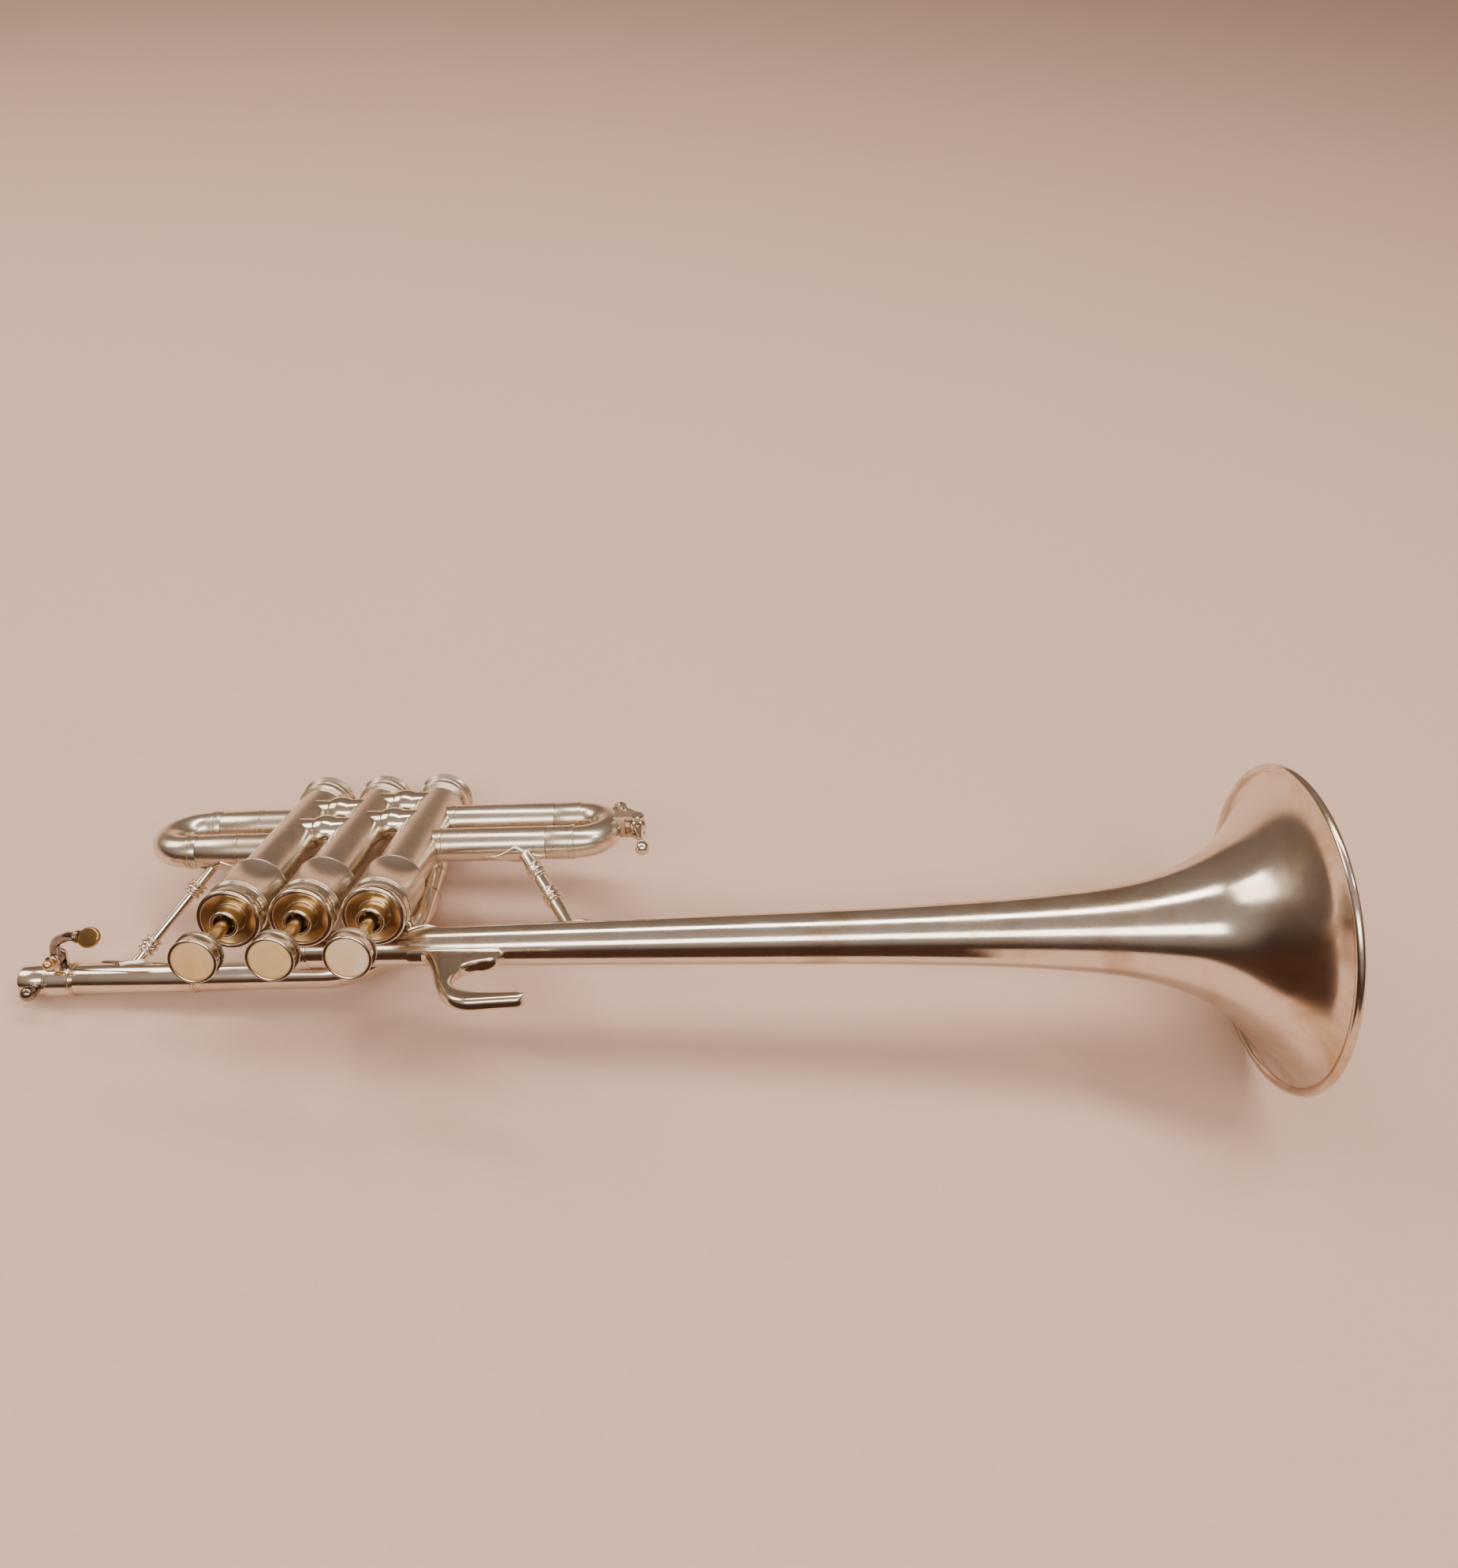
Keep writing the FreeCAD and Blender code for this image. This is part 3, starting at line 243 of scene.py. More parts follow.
MATERIAL_OF_SLOT = {"silver_plate": SILVER, "cap_silver": CAP_SILVER, "dark_silver": DARK_SILVER,
                    "bare_brass": STEM_BRASS, "valve_metal": VALVE_METAL, "spring_steel": SPRING_STEEL,
                    "felt": FELT, "cork": CORK, "mother_of_pearl": PEARLS[1]}


def dress(node, material):
    """Give a CAD node its material."""
    mesh = frame["nodes"][node].data
    mesh.materials.clear()
    mesh.materials.append(material)


for part in frame["record"]["subparts"]:
    dress(part["node"], MATERIAL_OF_SLOT[part["material_slot"]])
dress("clamp_thumb_plate", BRASS)
dress("mouthpiece_receiver", SILVER)


# ---------------------------------------------------------------- making meshes
def built(name, shape, body, materials, node, sharp=35.0):
    """A new piece from (points, faces) in the instrument's frame. It stands for a CAD node and rides on a
    body. Edges sharper than this many degrees stay crisp."""
    mesh = bpy.data.meshes.new(name)
    mesh.from_pydata(shape[0], [], shape[1])
    mesh.transform(INSTRUMENT)
    work = bmesh.new()
    work.from_mesh(mesh)
    bmesh.ops.recalc_face_normals(work, faces=work.faces)
    work.to_mesh(mesh)
    work.free()
    mesh.shade_smooth()
    mesh.set_sharp_from_angle(angle=math.radians(sharp))
    for material in materials:
        mesh.materials.append(material)
    item = bpy.data.objects.new(name, mesh)
    bpy.context.scene.collection.objects.link(item)
    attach(item, body)
    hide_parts(node)
    return item


class Route:
    """Straight runs through some corners, joined by tangent arcs."""

    def __init__(self, corners, radii=()):
        corners = [Vector(corner) for corner in corners]
        self.runs, self.arc_ends, self.length = [], [], 0.0
        start, heading = corners[0], (corners[1] - corners[0]).normalized()
        side = heading.orthogonal().normalized()
        for corner, after, radius in zip(corners[1:], corners[2:], radii):
            on = (after - corner).normalized()
            reach = radius * math.tan(heading.angle(on) / 2)
            bend_start = corner - heading * reach
            self.add((bend_start - start).length, start, heading, side, None, 0.0)
            axis = heading.cross(on).normalized()
            self.add(radius * heading.angle(on), bend_start, heading, side, axis, radius)
            side = Quaternion(axis, heading.angle(on)) @ side
            start, heading = corner + on * reach, on
            self.arc_ends.append((self.length, reach))
        self.add((corners[-1] - start).length, start, heading, side, None, 0.0)

    def add(self, length, start, heading, side, axis, radius):
        self.runs.append((self.length, start, heading, side, axis, radius))
        self.length += length

    def past(self, corner, distance):
        """The distance along the route of a place this far past a corner."""
        end, reach = self.arc_ends[corner]
        return end + distance - reach

    def at(self, distance):
        """The place at a distance, the heading there and a direction across it."""
        passed = [run for run in self.runs if run[0] <= max(distance, 0.0)]
        begin, start, heading, side, axis, radius = passed[-1]
        if axis is None:
            return start + heading * (distance - begin), heading, side
        turn = Quaternion(axis, (distance - begin) / radius)
        centre = start + axis.cross(heading) * radius
        return centre + turn @ (start - centre), turn @ heading, turn @ side


def line(start, heading):
    return Route([Vector(start), Vector(start) + heading])


def on_casing(spot, heading, valve, way):
    """Move a place along its heading to the wall of a valve's casing, on the far (1) or near (-1) side."""
    offset = Vector((spot.x - VALVES[valve], spot.y, 0))
    flat = Vector((heading.x, heading.y, 0))
    spread = offset.dot(flat) ** 2 / flat.length ** 2 - (offset.length ** 2 - CASING_WALL ** 2)
    along = -offset.dot(flat) / flat.length + way * math.sqrt(max(spread, 0.0))
    return spot + heading * (along / flat.length)


def turned(outline, route, turns=TUBE_SIDES, wave=None):
    """Points and faces of a round body along a route. outline is a closed loop of (distance, radius), or runs
    from middle to middle. A third entry (valve, way) puts that edge on the wall of a valve's casing. wave
    gives a radius that changes round the body."""
    points, faces, rings = [], [], []
    for entry in outline:
        spot, heading, side = route.at(entry[0])
        other = heading.cross(side)
        if entry[1] < 1e-6:
            rings.append([len(points)])
            points.append(spot)
            continue
        rings.append(list(range(len(points), len(points) + turns)))
        for k in range(turns):
            angle = 2 * math.pi * k / turns
            radius = wave(entry[0], entry[1], angle) if wave else entry[1]
            point = spot + (side * math.cos(angle) + other * math.sin(angle)) * radius
            points.append(on_casing(point, heading, *entry[2]) if len(entry) > 2 else point)
    pairs = list(zip(rings, rings[1:]))
    if len(rings[0]) > 1:
        pairs.append((rings[-1], rings[0]))
    for near, far in pairs:
        for k in range(turns):
            n = (k + 1) % turns
            if len(near) == 1:
                faces.append((near[0], far[n], far[k]))
            elif len(far) == 1:
                faces.append((near[k], near[n], far[0]))
            else:
                faces.append((near[k], near[n], far[n], far[k]))
    return points, faces


def stepped(first, last, step):
    """A long run of an outline with points in between, so that it can follow a bend."""
    count = max(int(abs(last[0] - first[0]) / step), 1)
    return [(first[0] + (last[0] - first[0]) * k / count, first[1] + (last[1] - first[1]) * k / count)
            for k in range(count + 1)]


def band(middle, width, radius, height=0.22):
    """A low flat ring with a fine groove on each side."""
    half, groove, shoulder = width / 2, 0.16, 0.12
    return [(middle - half - 0.34, radius), (middle - half - 0.28, radius - groove),
            (middle - half - 0.06, radius - groove), (middle - half, radius + height - shoulder),
            (middle - half + shoulder, radius + height), (middle + half - shoulder, radius + height),
            (middle + half, radius + height - shoulder), (middle + half + 0.06, radius - groove),
            (middle + half + 0.28, radius - groove), (middle + half + 0.34, radius)]


def pipe(begin, end, radius, bore, details=(), lip=0.25):
    """The outline of a tube with rounded ends. begin and end may name a casing as (distance, valve, way)."""
    first = [(begin[0], radius, begin[1:])] if isinstance(begin, tuple) else [(begin, radius - lip),
             (begin + lip * 0.3, radius - lip * 0.3), (begin + lip, radius)]
    last = [(end[0], radius, end[1:])] if isinstance(end, tuple) else [(end - lip, radius),
            (end - lip * 0.3, radius - lip * 0.3), (end, radius - lip)]
    inner_last = (end[0], bore, end[1:]) if isinstance(end, tuple) else (end, bore)
    inner_first = (begin[0], bore, begin[1:]) if isinstance(begin, tuple) else (begin, bore)
    middle = [entry for detail in details for entry in detail]
    return first + middle + last + [inner_last, inner_first]


def skinned(rings, loop):
    """Faces that join rings of points into one closed skin, with a face on each end."""
    faces = []
    for near in range(0, (rings - 1) * loop, loop):
        far = near + loop
        faces += [(near + k, near + (k + 1) % loop, far + (k + 1) % loop, far + k) for k in range(loop)]
    return faces + [tuple(range(loop)), tuple(range((rings - 1) * loop, rings * loop))]


def slab(outline, place, along, up, thickness, rounding, steps=6):
    """A flat plate with rounded edges. outline is in (along, up) and its face looks across both."""
    across = along.cross(up).normalized()
    spots = [Vector(spot) for spot in outline]
    area = sum(a.x * b.y - b.x * a.y for a, b in zip(spots, spots[1:] + spots[:1]))
    outward = []
    for before, here, after in zip(spots[-1:] + spots, spots, spots[1:] + spots[:1]):
        way = ((here - before).normalized() + (after - here).normalized()).normalized()
        outward.append(Vector((way.y, -way.x)) * (1 if area > 0 else -1))
    levels = []
    for step in range(steps + 1):
        angle = math.pi / 2 * step / steps
        levels.append((rounding * (1 - math.cos(angle)), thickness / 2 - rounding * (1 - math.sin(angle))))
    levels = [(inset, -depth) for inset, depth in reversed(levels)] + levels
    points = []
    for inset, depth in levels:
        for spot, normal in zip(spots, outward):
            flat = spot - normal * inset
            points.append(Vector(place) + along * flat.x + up * flat.y + across * depth)
    return points, skinned(len(levels), len(spots))


def wrapped(place, facing, radius, half_length, half_width, thickness=0.9, shape=1.7, rows=64, columns=20):
    """A plate curved over a tube that runs along x, with a crisp rounded edge. half_width tapers from the
    middle by shape, and a shape of zero makes a plain strap."""
    across = facing.cross(X).normalized()
    points = []
    for row in range(rows + 1):
        along = math.sin(math.pi / 2 * (2 * row / rows - 1))
        if shape:
            half = half_width * max(1 - abs(along), 0.0) ** shape + 0.03
        else:
            half = half_width * (1 - abs(along) ** 24) + 0.03
        for column in range(columns + 1):
            part = math.sin(math.pi / 2 * (2 * column / columns - 1))
            rise = thickness * (1 - abs(part) ** 8) ** 0.5 * min(1.0, half * 1.6) + 0.02
            angle = part * half / radius
            way = facing * math.cos(angle) + across * math.sin(angle)
            points.append(Vector(place) + X * along * half_length + way * (radius + rise))
        for angle in (half / radius, -half / radius):
            way = facing * math.cos(angle) + across * math.sin(angle)
            points.append(Vector(place) + X * along * half_length + way * (radius - 0.15))
    return points, skinned(rows + 1, columns + 3)


def joined(*parts):
    """Several (points, faces) as one."""
    points, faces = [], []
    for more_points, more_faces in parts:
        base = len(points)
        points += list(more_points)
        faces += [tuple(base + index for index in face) for face in more_faces]
    return points, faces


def arc(centre, radius, begin, end, steps):
    """Points of an arc in an outline; angles in degrees, from along towards outward."""
    made = []
    for step in range(steps + 1):
        angle = math.radians(begin + (end - begin) * step / steps)
        made.append((centre[0] + radius * math.cos(angle), centre[1] + radius * math.sin(angle)))
    return made


def spline(points, steps):
    """A smooth curve through the points, by centripetal Catmull-Rom."""
    spots = [Vector(point) for point in points]
    spots = [spots[0] * 2 - spots[1]] + spots + [spots[-1] * 2 - spots[-2]]
    made = []
    for a, b, c, d in zip(spots, spots[1:], spots[2:], spots[3:]):
        t1 = math.sqrt((b - a).length)
        t2 = t1 + math.sqrt((c - b).length)
        t3 = t2 + math.sqrt((d - c).length)
        for step in range(steps):
            t = t1 + (t2 - t1) * step / steps
            ab = a * ((t1 - t) / t1) + b * (t / t1)
            bc = b * ((t2 - t) / (t2 - t1)) + c * ((t - t1) / (t2 - t1))
            cd = c * ((t3 - t) / (t3 - t2)) + d * ((t - t2) / (t3 - t2))
            abc = ab * ((t2 - t) / t2) + bc * (t / t2)
            bcd = bc * ((t3 - t) / (t3 - t1)) + cd * ((t - t1) / (t3 - t1))
            made.append(abc * ((t2 - t) / (t2 - t1)) + bcd * ((t - t1) / (t2 - t1)))
    made.append(spots[-2])
    return made


def teeth(foot, top, count, depth):
    """Fine milling between two places along an outline."""
    def wave(along, radius, angle):
        if foot < along < top:
            return radius + depth * (0.5 + 0.5 * math.cos(count * angle))
        return radius
    return wave


# ---------------------------------------------------------------- bell
BELL_STATIONS = (                           # distance back from the bead's middle, outer radius
    (3.2, 49.4), (11.0, 39.0), (20.5, 29.8), (33.5, 22.6), (52.0, 17.0), (80.0, 13.5),
    (130.0, 10.7), (216.0, 8.7), (290.0, 7.4))


def bell():
    """The bell's sheet, from its tail to a bead rolled round its rim."""
    rim, bead = 58.2, 1.6
    mouth = BELL_MOUTH - bead
    stations = [(mouth - distance, radius) for distance, radius in reversed(BELL_STATIONS)]
    outside = spline([(BELL_START, TAIL_RADIUS)] + stations + [(mouth, rim - bead)], 14)
    inside = []
    for before, here, after in zip([outside[0]] + outside, outside, outside[1:] + [outside[-1]]):
        way = (after - before).normalized()
        inside.append(here + Vector((way.y, -way.x)) * BELL_WALL)
    bead_middle = Vector((mouth, rim - bead))
    clear_out = [spot for spot in outside if (spot - bead_middle).length > bead * 1.02]
    clear_in = [spot for spot in inside if (spot - bead_middle).length > bead * 1.02]
    enter = math.degrees(math.atan2(clear_out[-1].y - bead_middle.y, clear_out[-1].x - bead_middle.x)) % 360
    leave = math.degrees(math.atan2(clear_in[-1].y - bead_middle.y, clear_in[-1].x - bead_middle.x))
    roll = arc(bead_middle, bead, enter - 12, leave + 12, 26)
    outline = clear_out + roll + list(reversed(clear_in))
    shape = turned(outline, line((0, BELL_SIDE, BELL_HEIGHT), X), FLARE_SIDES)
    built("bell_shell", shape, "body", [BELL_SILVER], "bell")


def bell_bow():
    """The bow from the bell's tail into the first casing, and the ferrule that joins it to the bell."""
    valve, radius, bore = VALVES[1], TAIL_RADIUS, TAIL_RADIUS - BELL_WALL
    route = Route([(BELL_START, BELL_SIDE, BELL_HEIGHT), (valve, BELL_SIDE, BELL_HEIGHT),
                   (valve, BELL_SIDE, HIGH_PORT), (valve, 0, HIGH_PORT)], [14.0, 9.4])
    stop = route.length - ENTRY
    outline = stepped((0.0, radius), (stop, radius), BEND_STEP)
    outline += [(route.length, radius, (1, -1)), (route.length, bore, (1, -1))]
    outline += stepped((stop, bore), (0.0, bore), BEND_STEP)
    built("tail_bow", turned(outline, route), "body", [SILVER], "bell_bow")
    rings = [band(middle, 1.0, radius + 0.5, 0.0) for middle in (-3.6, 1.6)]
    ferrule = pipe(-5.0, 3.0, radius + 0.5, radius, rings)
    shape = turned(ferrule, line((BELL_START, BELL_SIDE, BELL_HEIGHT), X))
    built("tail_ferrule", shape, "body", [SILVER], "bell_tail_ferrule")


bell()
bell_bow()


# ---------------------------------------------------------------- casings, caps, buttons and pearls
def casing(number, x):
    """A casing with a wider upper chamber between two beads."""
    outline = [(1.7, 8.3), (1.6, 8.9), (1.9, 9.0), (8.1, 9.0), (8.1, 9.3), (8.3, 9.5), (79.2, 9.5)]
    outline += [(79.45, 9.7)] + arc((80.05, 10.72), 0.55, 190, 55, 10) + [(80.7, 11.0), (97.2, 11.0)]
    outline += arc((97.85, 10.72), 0.55, 125, -10, 10)
    outline += [(98.4, 10.1), (102.8, 10.1), (103.0, 9.9), (103.0, 9.35), (79.6, 9.3), (79.5, 8.3)]
    shape = turned(outline, line((x, 0, 0), Z), CASING_SIDES)
    built(f"casing_{number}", shape, "body", [SATIN_SILVER], f"valve_casing_{number}")


def knuckles():
    """The short bulbous tubes between the casings."""
    parts, tube_radius, bore, bulge, begin, end = [], 5.7, 5.0, 1.1, 2.0, VALVE_PITCH - 2.0
    for valve, following, height in ((1, 2, 40.0), (1, 2, 21.0), (2, 3, 34.0), (2, 3, 15.0)):
        middle, outline = VALVE_PITCH / 2, [(begin, tube_radius, (valve, 1))]
        for step in range(17):
            part = step / 8 - 1
            outline.append((middle + part * 4.4, tube_radius + bulge * math.cos(part * math.pi / 2) ** 0.8))
        outline += [(end, tube_radius, (following, -1)), (end, bore, (following, -1)),
                    (begin, bore, (valve, 1))]
        parts.append(turned(outline, line((VALVES[valve], 3.5, height), X), ROD_SIDES))
    built("knuckles", joined(*parts), "body", [SILVER], "crossover_tubes")


def top_cap(number, x):
    """A cap with a bead at its foot, a milled band, a rounded rim, a brass dish and a collar."""
    foot, face, rim, ridges = 98.5, 106.8, 11.3, 90
    turns = 4 * ridges
    outside = [(foot, 10.15), (foot + 0.02, 10.6)] + arc((foot + 0.55, 10.75), 0.55, 170, 20, 8)
    outside += [(foot + 1.2, 10.82), (foot + 3.6, 10.82), (foot + 3.75, 10.7)]
    milled = [(foot + 3.85, 11.0), (foot + 4.75, 11.0), (foot + 4.85, 10.7), (foot + 5.0, 10.7)]
    lip = arc((face - 1.75, rim - 0.9), 0.9, 160, 92, 6) + arc((face - 0.93, rim - 0.93), 0.93, 88, 4, 10)
    lip += arc((face - 0.55, 9.95), 0.55, 0, -85, 6)
    dish = [(face - 0.9, 9.35), (face - 1.25, 8.75), (face - 1.3, 8.6), (face - 1.75, 7.8), (face - 1.8, 7.6),
            (face - 2.2, 6.9), (face - 2.35, 6.2), (face - 2.35, 5.75)]
    collar = [(face - 2.2, 5.45), (face - 1.8, 5.15), (face - 1.2, 5.0), (face + 2.5, 4.95)]
    crown = arc((face + 2.78, 4.4), 0.62, 100, -80, 12)
    under = [(face + 2.2, 3.75), (face - 3.7, 3.75), (face - 3.7, 10.15)]
    outline = outside + milled + lip + dish + collar + crown + under
    shape = turned(outline, line((x, 0, 0), Z), turns, teeth(foot + 3.8, foot + 4.8, ridges, 0.2))
    item = built(f"cap_{number}", shape, "body", [CAP_SILVER, BRASS], f"top_cap_{number}", 50)
    brass_from = len(outside) + len(milled) + len(lip) - 2
    brass_to = brass_from + len(dish) + 1
    for polygon in item.data.polygons:
        if brass_from * turns <= polygon.index < brass_to * turns:
            polygon.material_index = 1


def bottom_cap(number, x):
    """A cap with a broad bead at its foot, a small ring and a slightly domed, vented end."""
    rim = 11.55
    outline = [(-0.55, 1.6), (-0.85, 6.0), (-0.9, 9.6)]
    outline += arc((0, rim - 1.0), 1.0, 205, 75, 12)
    outline += [(1.2, 10.45), (2.7, 10.4), (3.05, 10.45)] + arc((3.6, 10.35), 0.48, 165, 15, 6)
    outline += [(4.2, 10.4), (6.4, 10.4)] + arc((7.1, 10.3), 0.55, 165, 10, 6)
    outline += [(8.0, 10.2), (8.0, 9.05), (0.4, 9.05), (0.4, 1.6)]
    shape = turned(outline, line((x, 0, 0), Z), CASING_SIDES)
    built(f"foot_cap_{number}", shape, "body", [SATIN_SILVER], f"bottom_cap_{number}")


def stem(number, x):
    """The plain rod between the piston and the button, with a collar at its foot."""
    foot, top, radius = 100.5, 128.5, 2.4
    outline = [(foot, 0.0), (foot, 3.8), (foot + 0.1, 3.9), (foot + 1.3, 3.9), (foot + 1.4, 3.8),
               (foot + 1.45, radius), (foot + 8.0, radius), (foot + 16.0, radius), (top, radius), (top, 0.0)]
    shape = turned(outline, line((x, 0, 0), Z), ROD_SIDES)
    built(f"stem_{number}", shape, f"valve_{number}", [STEM_BRASS], f"valve_stem_{number}")


def spring(number, x):
    """The coil under the top of the piston's barrel."""
    wire, radius, coils, foot, height, stroke = 0.35, 5.0, 6, 74.85, 23.5, 14.8
    steps, sides = coils * 48, 12
    points = []
    for k in range(steps + 1):
        turn = 2 * math.pi * coils * k / steps
        out = Vector((math.cos(turn), math.sin(turn), 0))
        middle = Vector((x, 0, foot + height * k / steps)) + out * radius
        for side in range(sides):
            way = 2 * math.pi * side / sides
            points.append(middle + out * wire * math.cos(way) + Z * wire * math.sin(way))
    item = built(f"spring_{number}", (points, skinned(steps + 1, sides)), "body", [SPRING_STEEL],
                 f"valve_spring_{number}")
    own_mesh(item)


def button(number, x):
    """A finger button: a rounded back, two milled rings, a plain side and a lip that holds the pearl."""
    foot, face, radius, ring, ridges = 126.3, BUTTON_FACE, 8.1, 0.6, 72
    cup = [(foot, 2.42), (foot, 3.4), (foot + 0.2, 3.75), (foot + 0.6, 4.7), (foot + 1.1, 6.0),
           (foot + 1.6, 6.95), (foot + 2.1, 7.55), (foot + 2.3, 7.75)]
    rings = []
    for start in (foot + 2.35, foot + 3.2):
        rings += [(start, 7.95), (start + 0.05, 8.05), (start + ring - 0.05, 8.05), (start + ring, 7.95),
                  (start + ring + 0.05, 7.65)]
    side = [(foot + 4.2, 7.65), (foot + 5.0, 7.7), (face - 1.25, 7.75)]
    lip = arc((face - 0.6, radius - 0.6), 0.6, 150, -10, 12)
    inside = [(face - 0.2, 7.13), (face - 1.7, 7.13), (face - 1.7, 2.42)]

    def milling(along, rad, angle):
        return rad + 0.2 * (0.5 + 0.5 * math.cos(ridges * angle)) * (7.9 < rad < 8.08 and along < face - 2)

    shape = turned(cup + rings + side + lip + inside, line((x, 0, 0), Z), 4 * ridges, milling)
    built(f"button_{number}", shape, f"valve_{number}", [CAP_SILVER], f"finger_button_{number}",
          50)


def inlay(number, x):
    """A disc of mother-of-pearl with a softly domed edge."""
    face, radius = BUTTON_FACE, 7.1
    top = [(face - 0.1, 0.0), (face - 0.1, 2.5), (face - 0.09, 4.8), (face - 0.1, 6.0), (face - 0.16, 6.5),
           (face - 0.3, 6.9), (face - 0.55, radius)]
    shape = turned(top + [(face - 1.6, radius), (face - 1.6, 0.0)], line((x, 0, 0), Z))
    built(f"pearl_{number}", shape, f"valve_{number}", [PEARLS[number]], f"pearl_inlay_{number}")


for valve, valve_x in VALVES.items():
    for make in (casing, top_cap, bottom_cap, stem, spring, button, inlay):
        make(valve, valve_x)
knuckles()


# ---------------------------------------------------------------- slides
def slide(name, side, valve, legs, seam, bow, inner_start, bands, bow_band, width):
    """The outer tubes on the casing, the inner tubes and the U bow of one slide, along side. legs are the two
    tubes' heights, seam is where the outer tubes end, and bands are the rings on them, width wide."""
    start = Vector((VALVES[valve], 0, 0))
    reach = start.dot(side)
    radius, bore, inner, wind, bend_radius, gap = SLIDE_RADIUS, 6.1, 6.05, 5.5, 6.3, 0.06
    outer, inside = [], []
    for height in legs:
        details = [band(middle - reach, width, radius) for middle in bands]
        outline = pipe((0.0, valve, 1), seam - reach, radius, bore, details)
        outer.append(turned(outline, line(start + Z * height, side)))
        tube_outline = pipe(inner_start - reach, bow - reach, inner, wind)
        inside.append(turned(tube_outline, line(start + Z * height, side)))
    built(f"{name}_sockets", joined(*outer), "body", [SATIN_SILVER], f"{name}_outer_tubes")
    built(f"{name}_legs", joined(*inside), name, [SILVER], f"{name}_inner_tubes")

    half = (legs[1] - legs[0]) / 2
    foot = start + side * (seam + gap - reach)
    far = start + side * (bow - reach + half)
    low, high = Z * legs[0], Z * legs[1]
    route = Route([foot + low, far + low, far + high, foot + high], [half, half])
    run, near = bow - seam - gap, bow_band - seam - gap
    length, lip = route.length, 0.25
    inlet = [(0.0, radius - lip), (lip * 0.3, radius - lip * 0.3), (lip, radius)] + band(near, width, radius)
    inlet += [(near + width / 2 + 0.5, radius), (near + width / 2 + 0.62, bend_radius)]
    outlet = [(length - along, rad) for along, rad in reversed(inlet)]
    outline = inlet + stepped(inlet[-1], outlet[0], 0.8)[1:] + outlet[1:]
    outline += [(length, bore - 0.03), (length - run, bore - 0.03)]
    outline += stepped((length - run, wind), (run, wind), 0.8) + [(run, bore - 0.03), (0.0, bore - 0.03)]
    built(f"{name}_crook", turned(outline, route), name, [SATIN_SILVER], f"{name}_bow")


slide("first_slide", -X, 1, (LOW_PORT, HIGH_PORT), 60.6, 65.8, 37.5, [44.8], 64.0, 1.3)
slide("second_slide", -Y, 2, (32.0, 52.0), 14.6, 18.2, 10.2, [], 16.9, 0.9)
slide("third_slide", X, 3, (LOW_PORT, HIGH_PORT), 77.35, 88.5, 38.0, [35.9], 87.3, 1.5)


# ---------------------------------------------------------------- leadpipe, receiver and clamp
SLEEVE_FRONT, RECEIVER_END = -54.0, -122.5


def leadpipe():
    """The straight sleeve and the pipe that bends from it into the third casing."""
    place, overlap = (SLEEVE_BACK, LEADPIPE_SIDE, LEADPIPE_HEIGHT), 8.0
    length, radius, socket, bore = SLEEVE_FRONT - SLEEVE_BACK, SLEEVE_RADIUS, 5.62, 5.35
    outline = pipe(0.0, length, radius, socket, [band(length - 1.3, 0.9, radius, 0.25)])[:-1]
    outline += [(length - overlap, socket), (length - overlap, bore), (0.0, bore)]
    built("sleeve", turned(outline, line(place, X)), "body", [SILVER], "leadpipe_sleeve")

    radius, bore = 5.6, 5.0
    route = Route([(SLEEVE_FRONT - overlap, LEADPIPE_SIDE, LEADPIPE_HEIGHT),
                   (VALVES[3] - 2.0, LEADPIPE_SIDE, LEADPIPE_HEIGHT),
                   (VALVES[3], LEADPIPE_SIDE / 2, 29.0), (VALVES[3], 0, 27.0)], [31.0, 9.0])
    stop = route.length - ENTRY
    joint = [(route.past(0, 38.0), radius)] + band(route.past(0, 39.7), 1.4, radius, 0.4)
    joint += band(route.past(0, 52.0), 0.8, radius, 0.4)
    outline = stepped((0.0, radius), joint[0], BEND_STEP) + joint[1:]
    outline += stepped(joint[-1], (stop, radius), BEND_STEP)[1:]
    outline += [(route.length, radius, (3, -1)), (route.length, bore, (3, -1))]
    outline += stepped((stop, bore), (0.0, bore), BEND_STEP)
    built("front_bend", turned(outline, route), "body", [SILVER], "leadpipe_bend")


def receiver():
    """The sliding tube that takes the mouthpiece, and its ball knob."""
    place = (RECEIVER_END, LEADPIPE_SIDE, LEADPIPE_HEIGHT)
    radius, foot = 5.6, SLEEVE_BACK - RECEIVER_END
    outline = [(24.0, 4.75), (0.5, 4.75), (0.1, 4.95)] + arc((1.2, radius - 1.2), 1.2, 190, 95, 8)
    outline += [(foot - 0.6, radius), (foot - 0.3, radius - 0.2), (foot - 0.2, 5.3), (49.8, 5.3), (50.0, 5.1),
                (50.0, 4.3), (24.0, 4.3)]
    shape = turned(outline, line(place, X))
    built("receiver", shape, "mouthpipe", [SILVER], "mouthpiece_receiver")
    knob = [(4.9, 0.0), (4.9, 1.9), (5.6, 2.3)] + arc((6.6, 1.9), 0.7, 160, 20, 6) + [(7.4, 1.6)]
    knob += arc((9.8, 0.0), 2.9, 148, 0, 16)[:-1] + [(12.7, 0.0)]
    shape = turned(knob, line((RECEIVER_END + 7.2, LEADPIPE_SIDE, LEADPIPE_HEIGHT), Z), ROD_SIDES)
    built("knob", shape, "mouthpipe", [DARK_SILVER], "pull_knob")


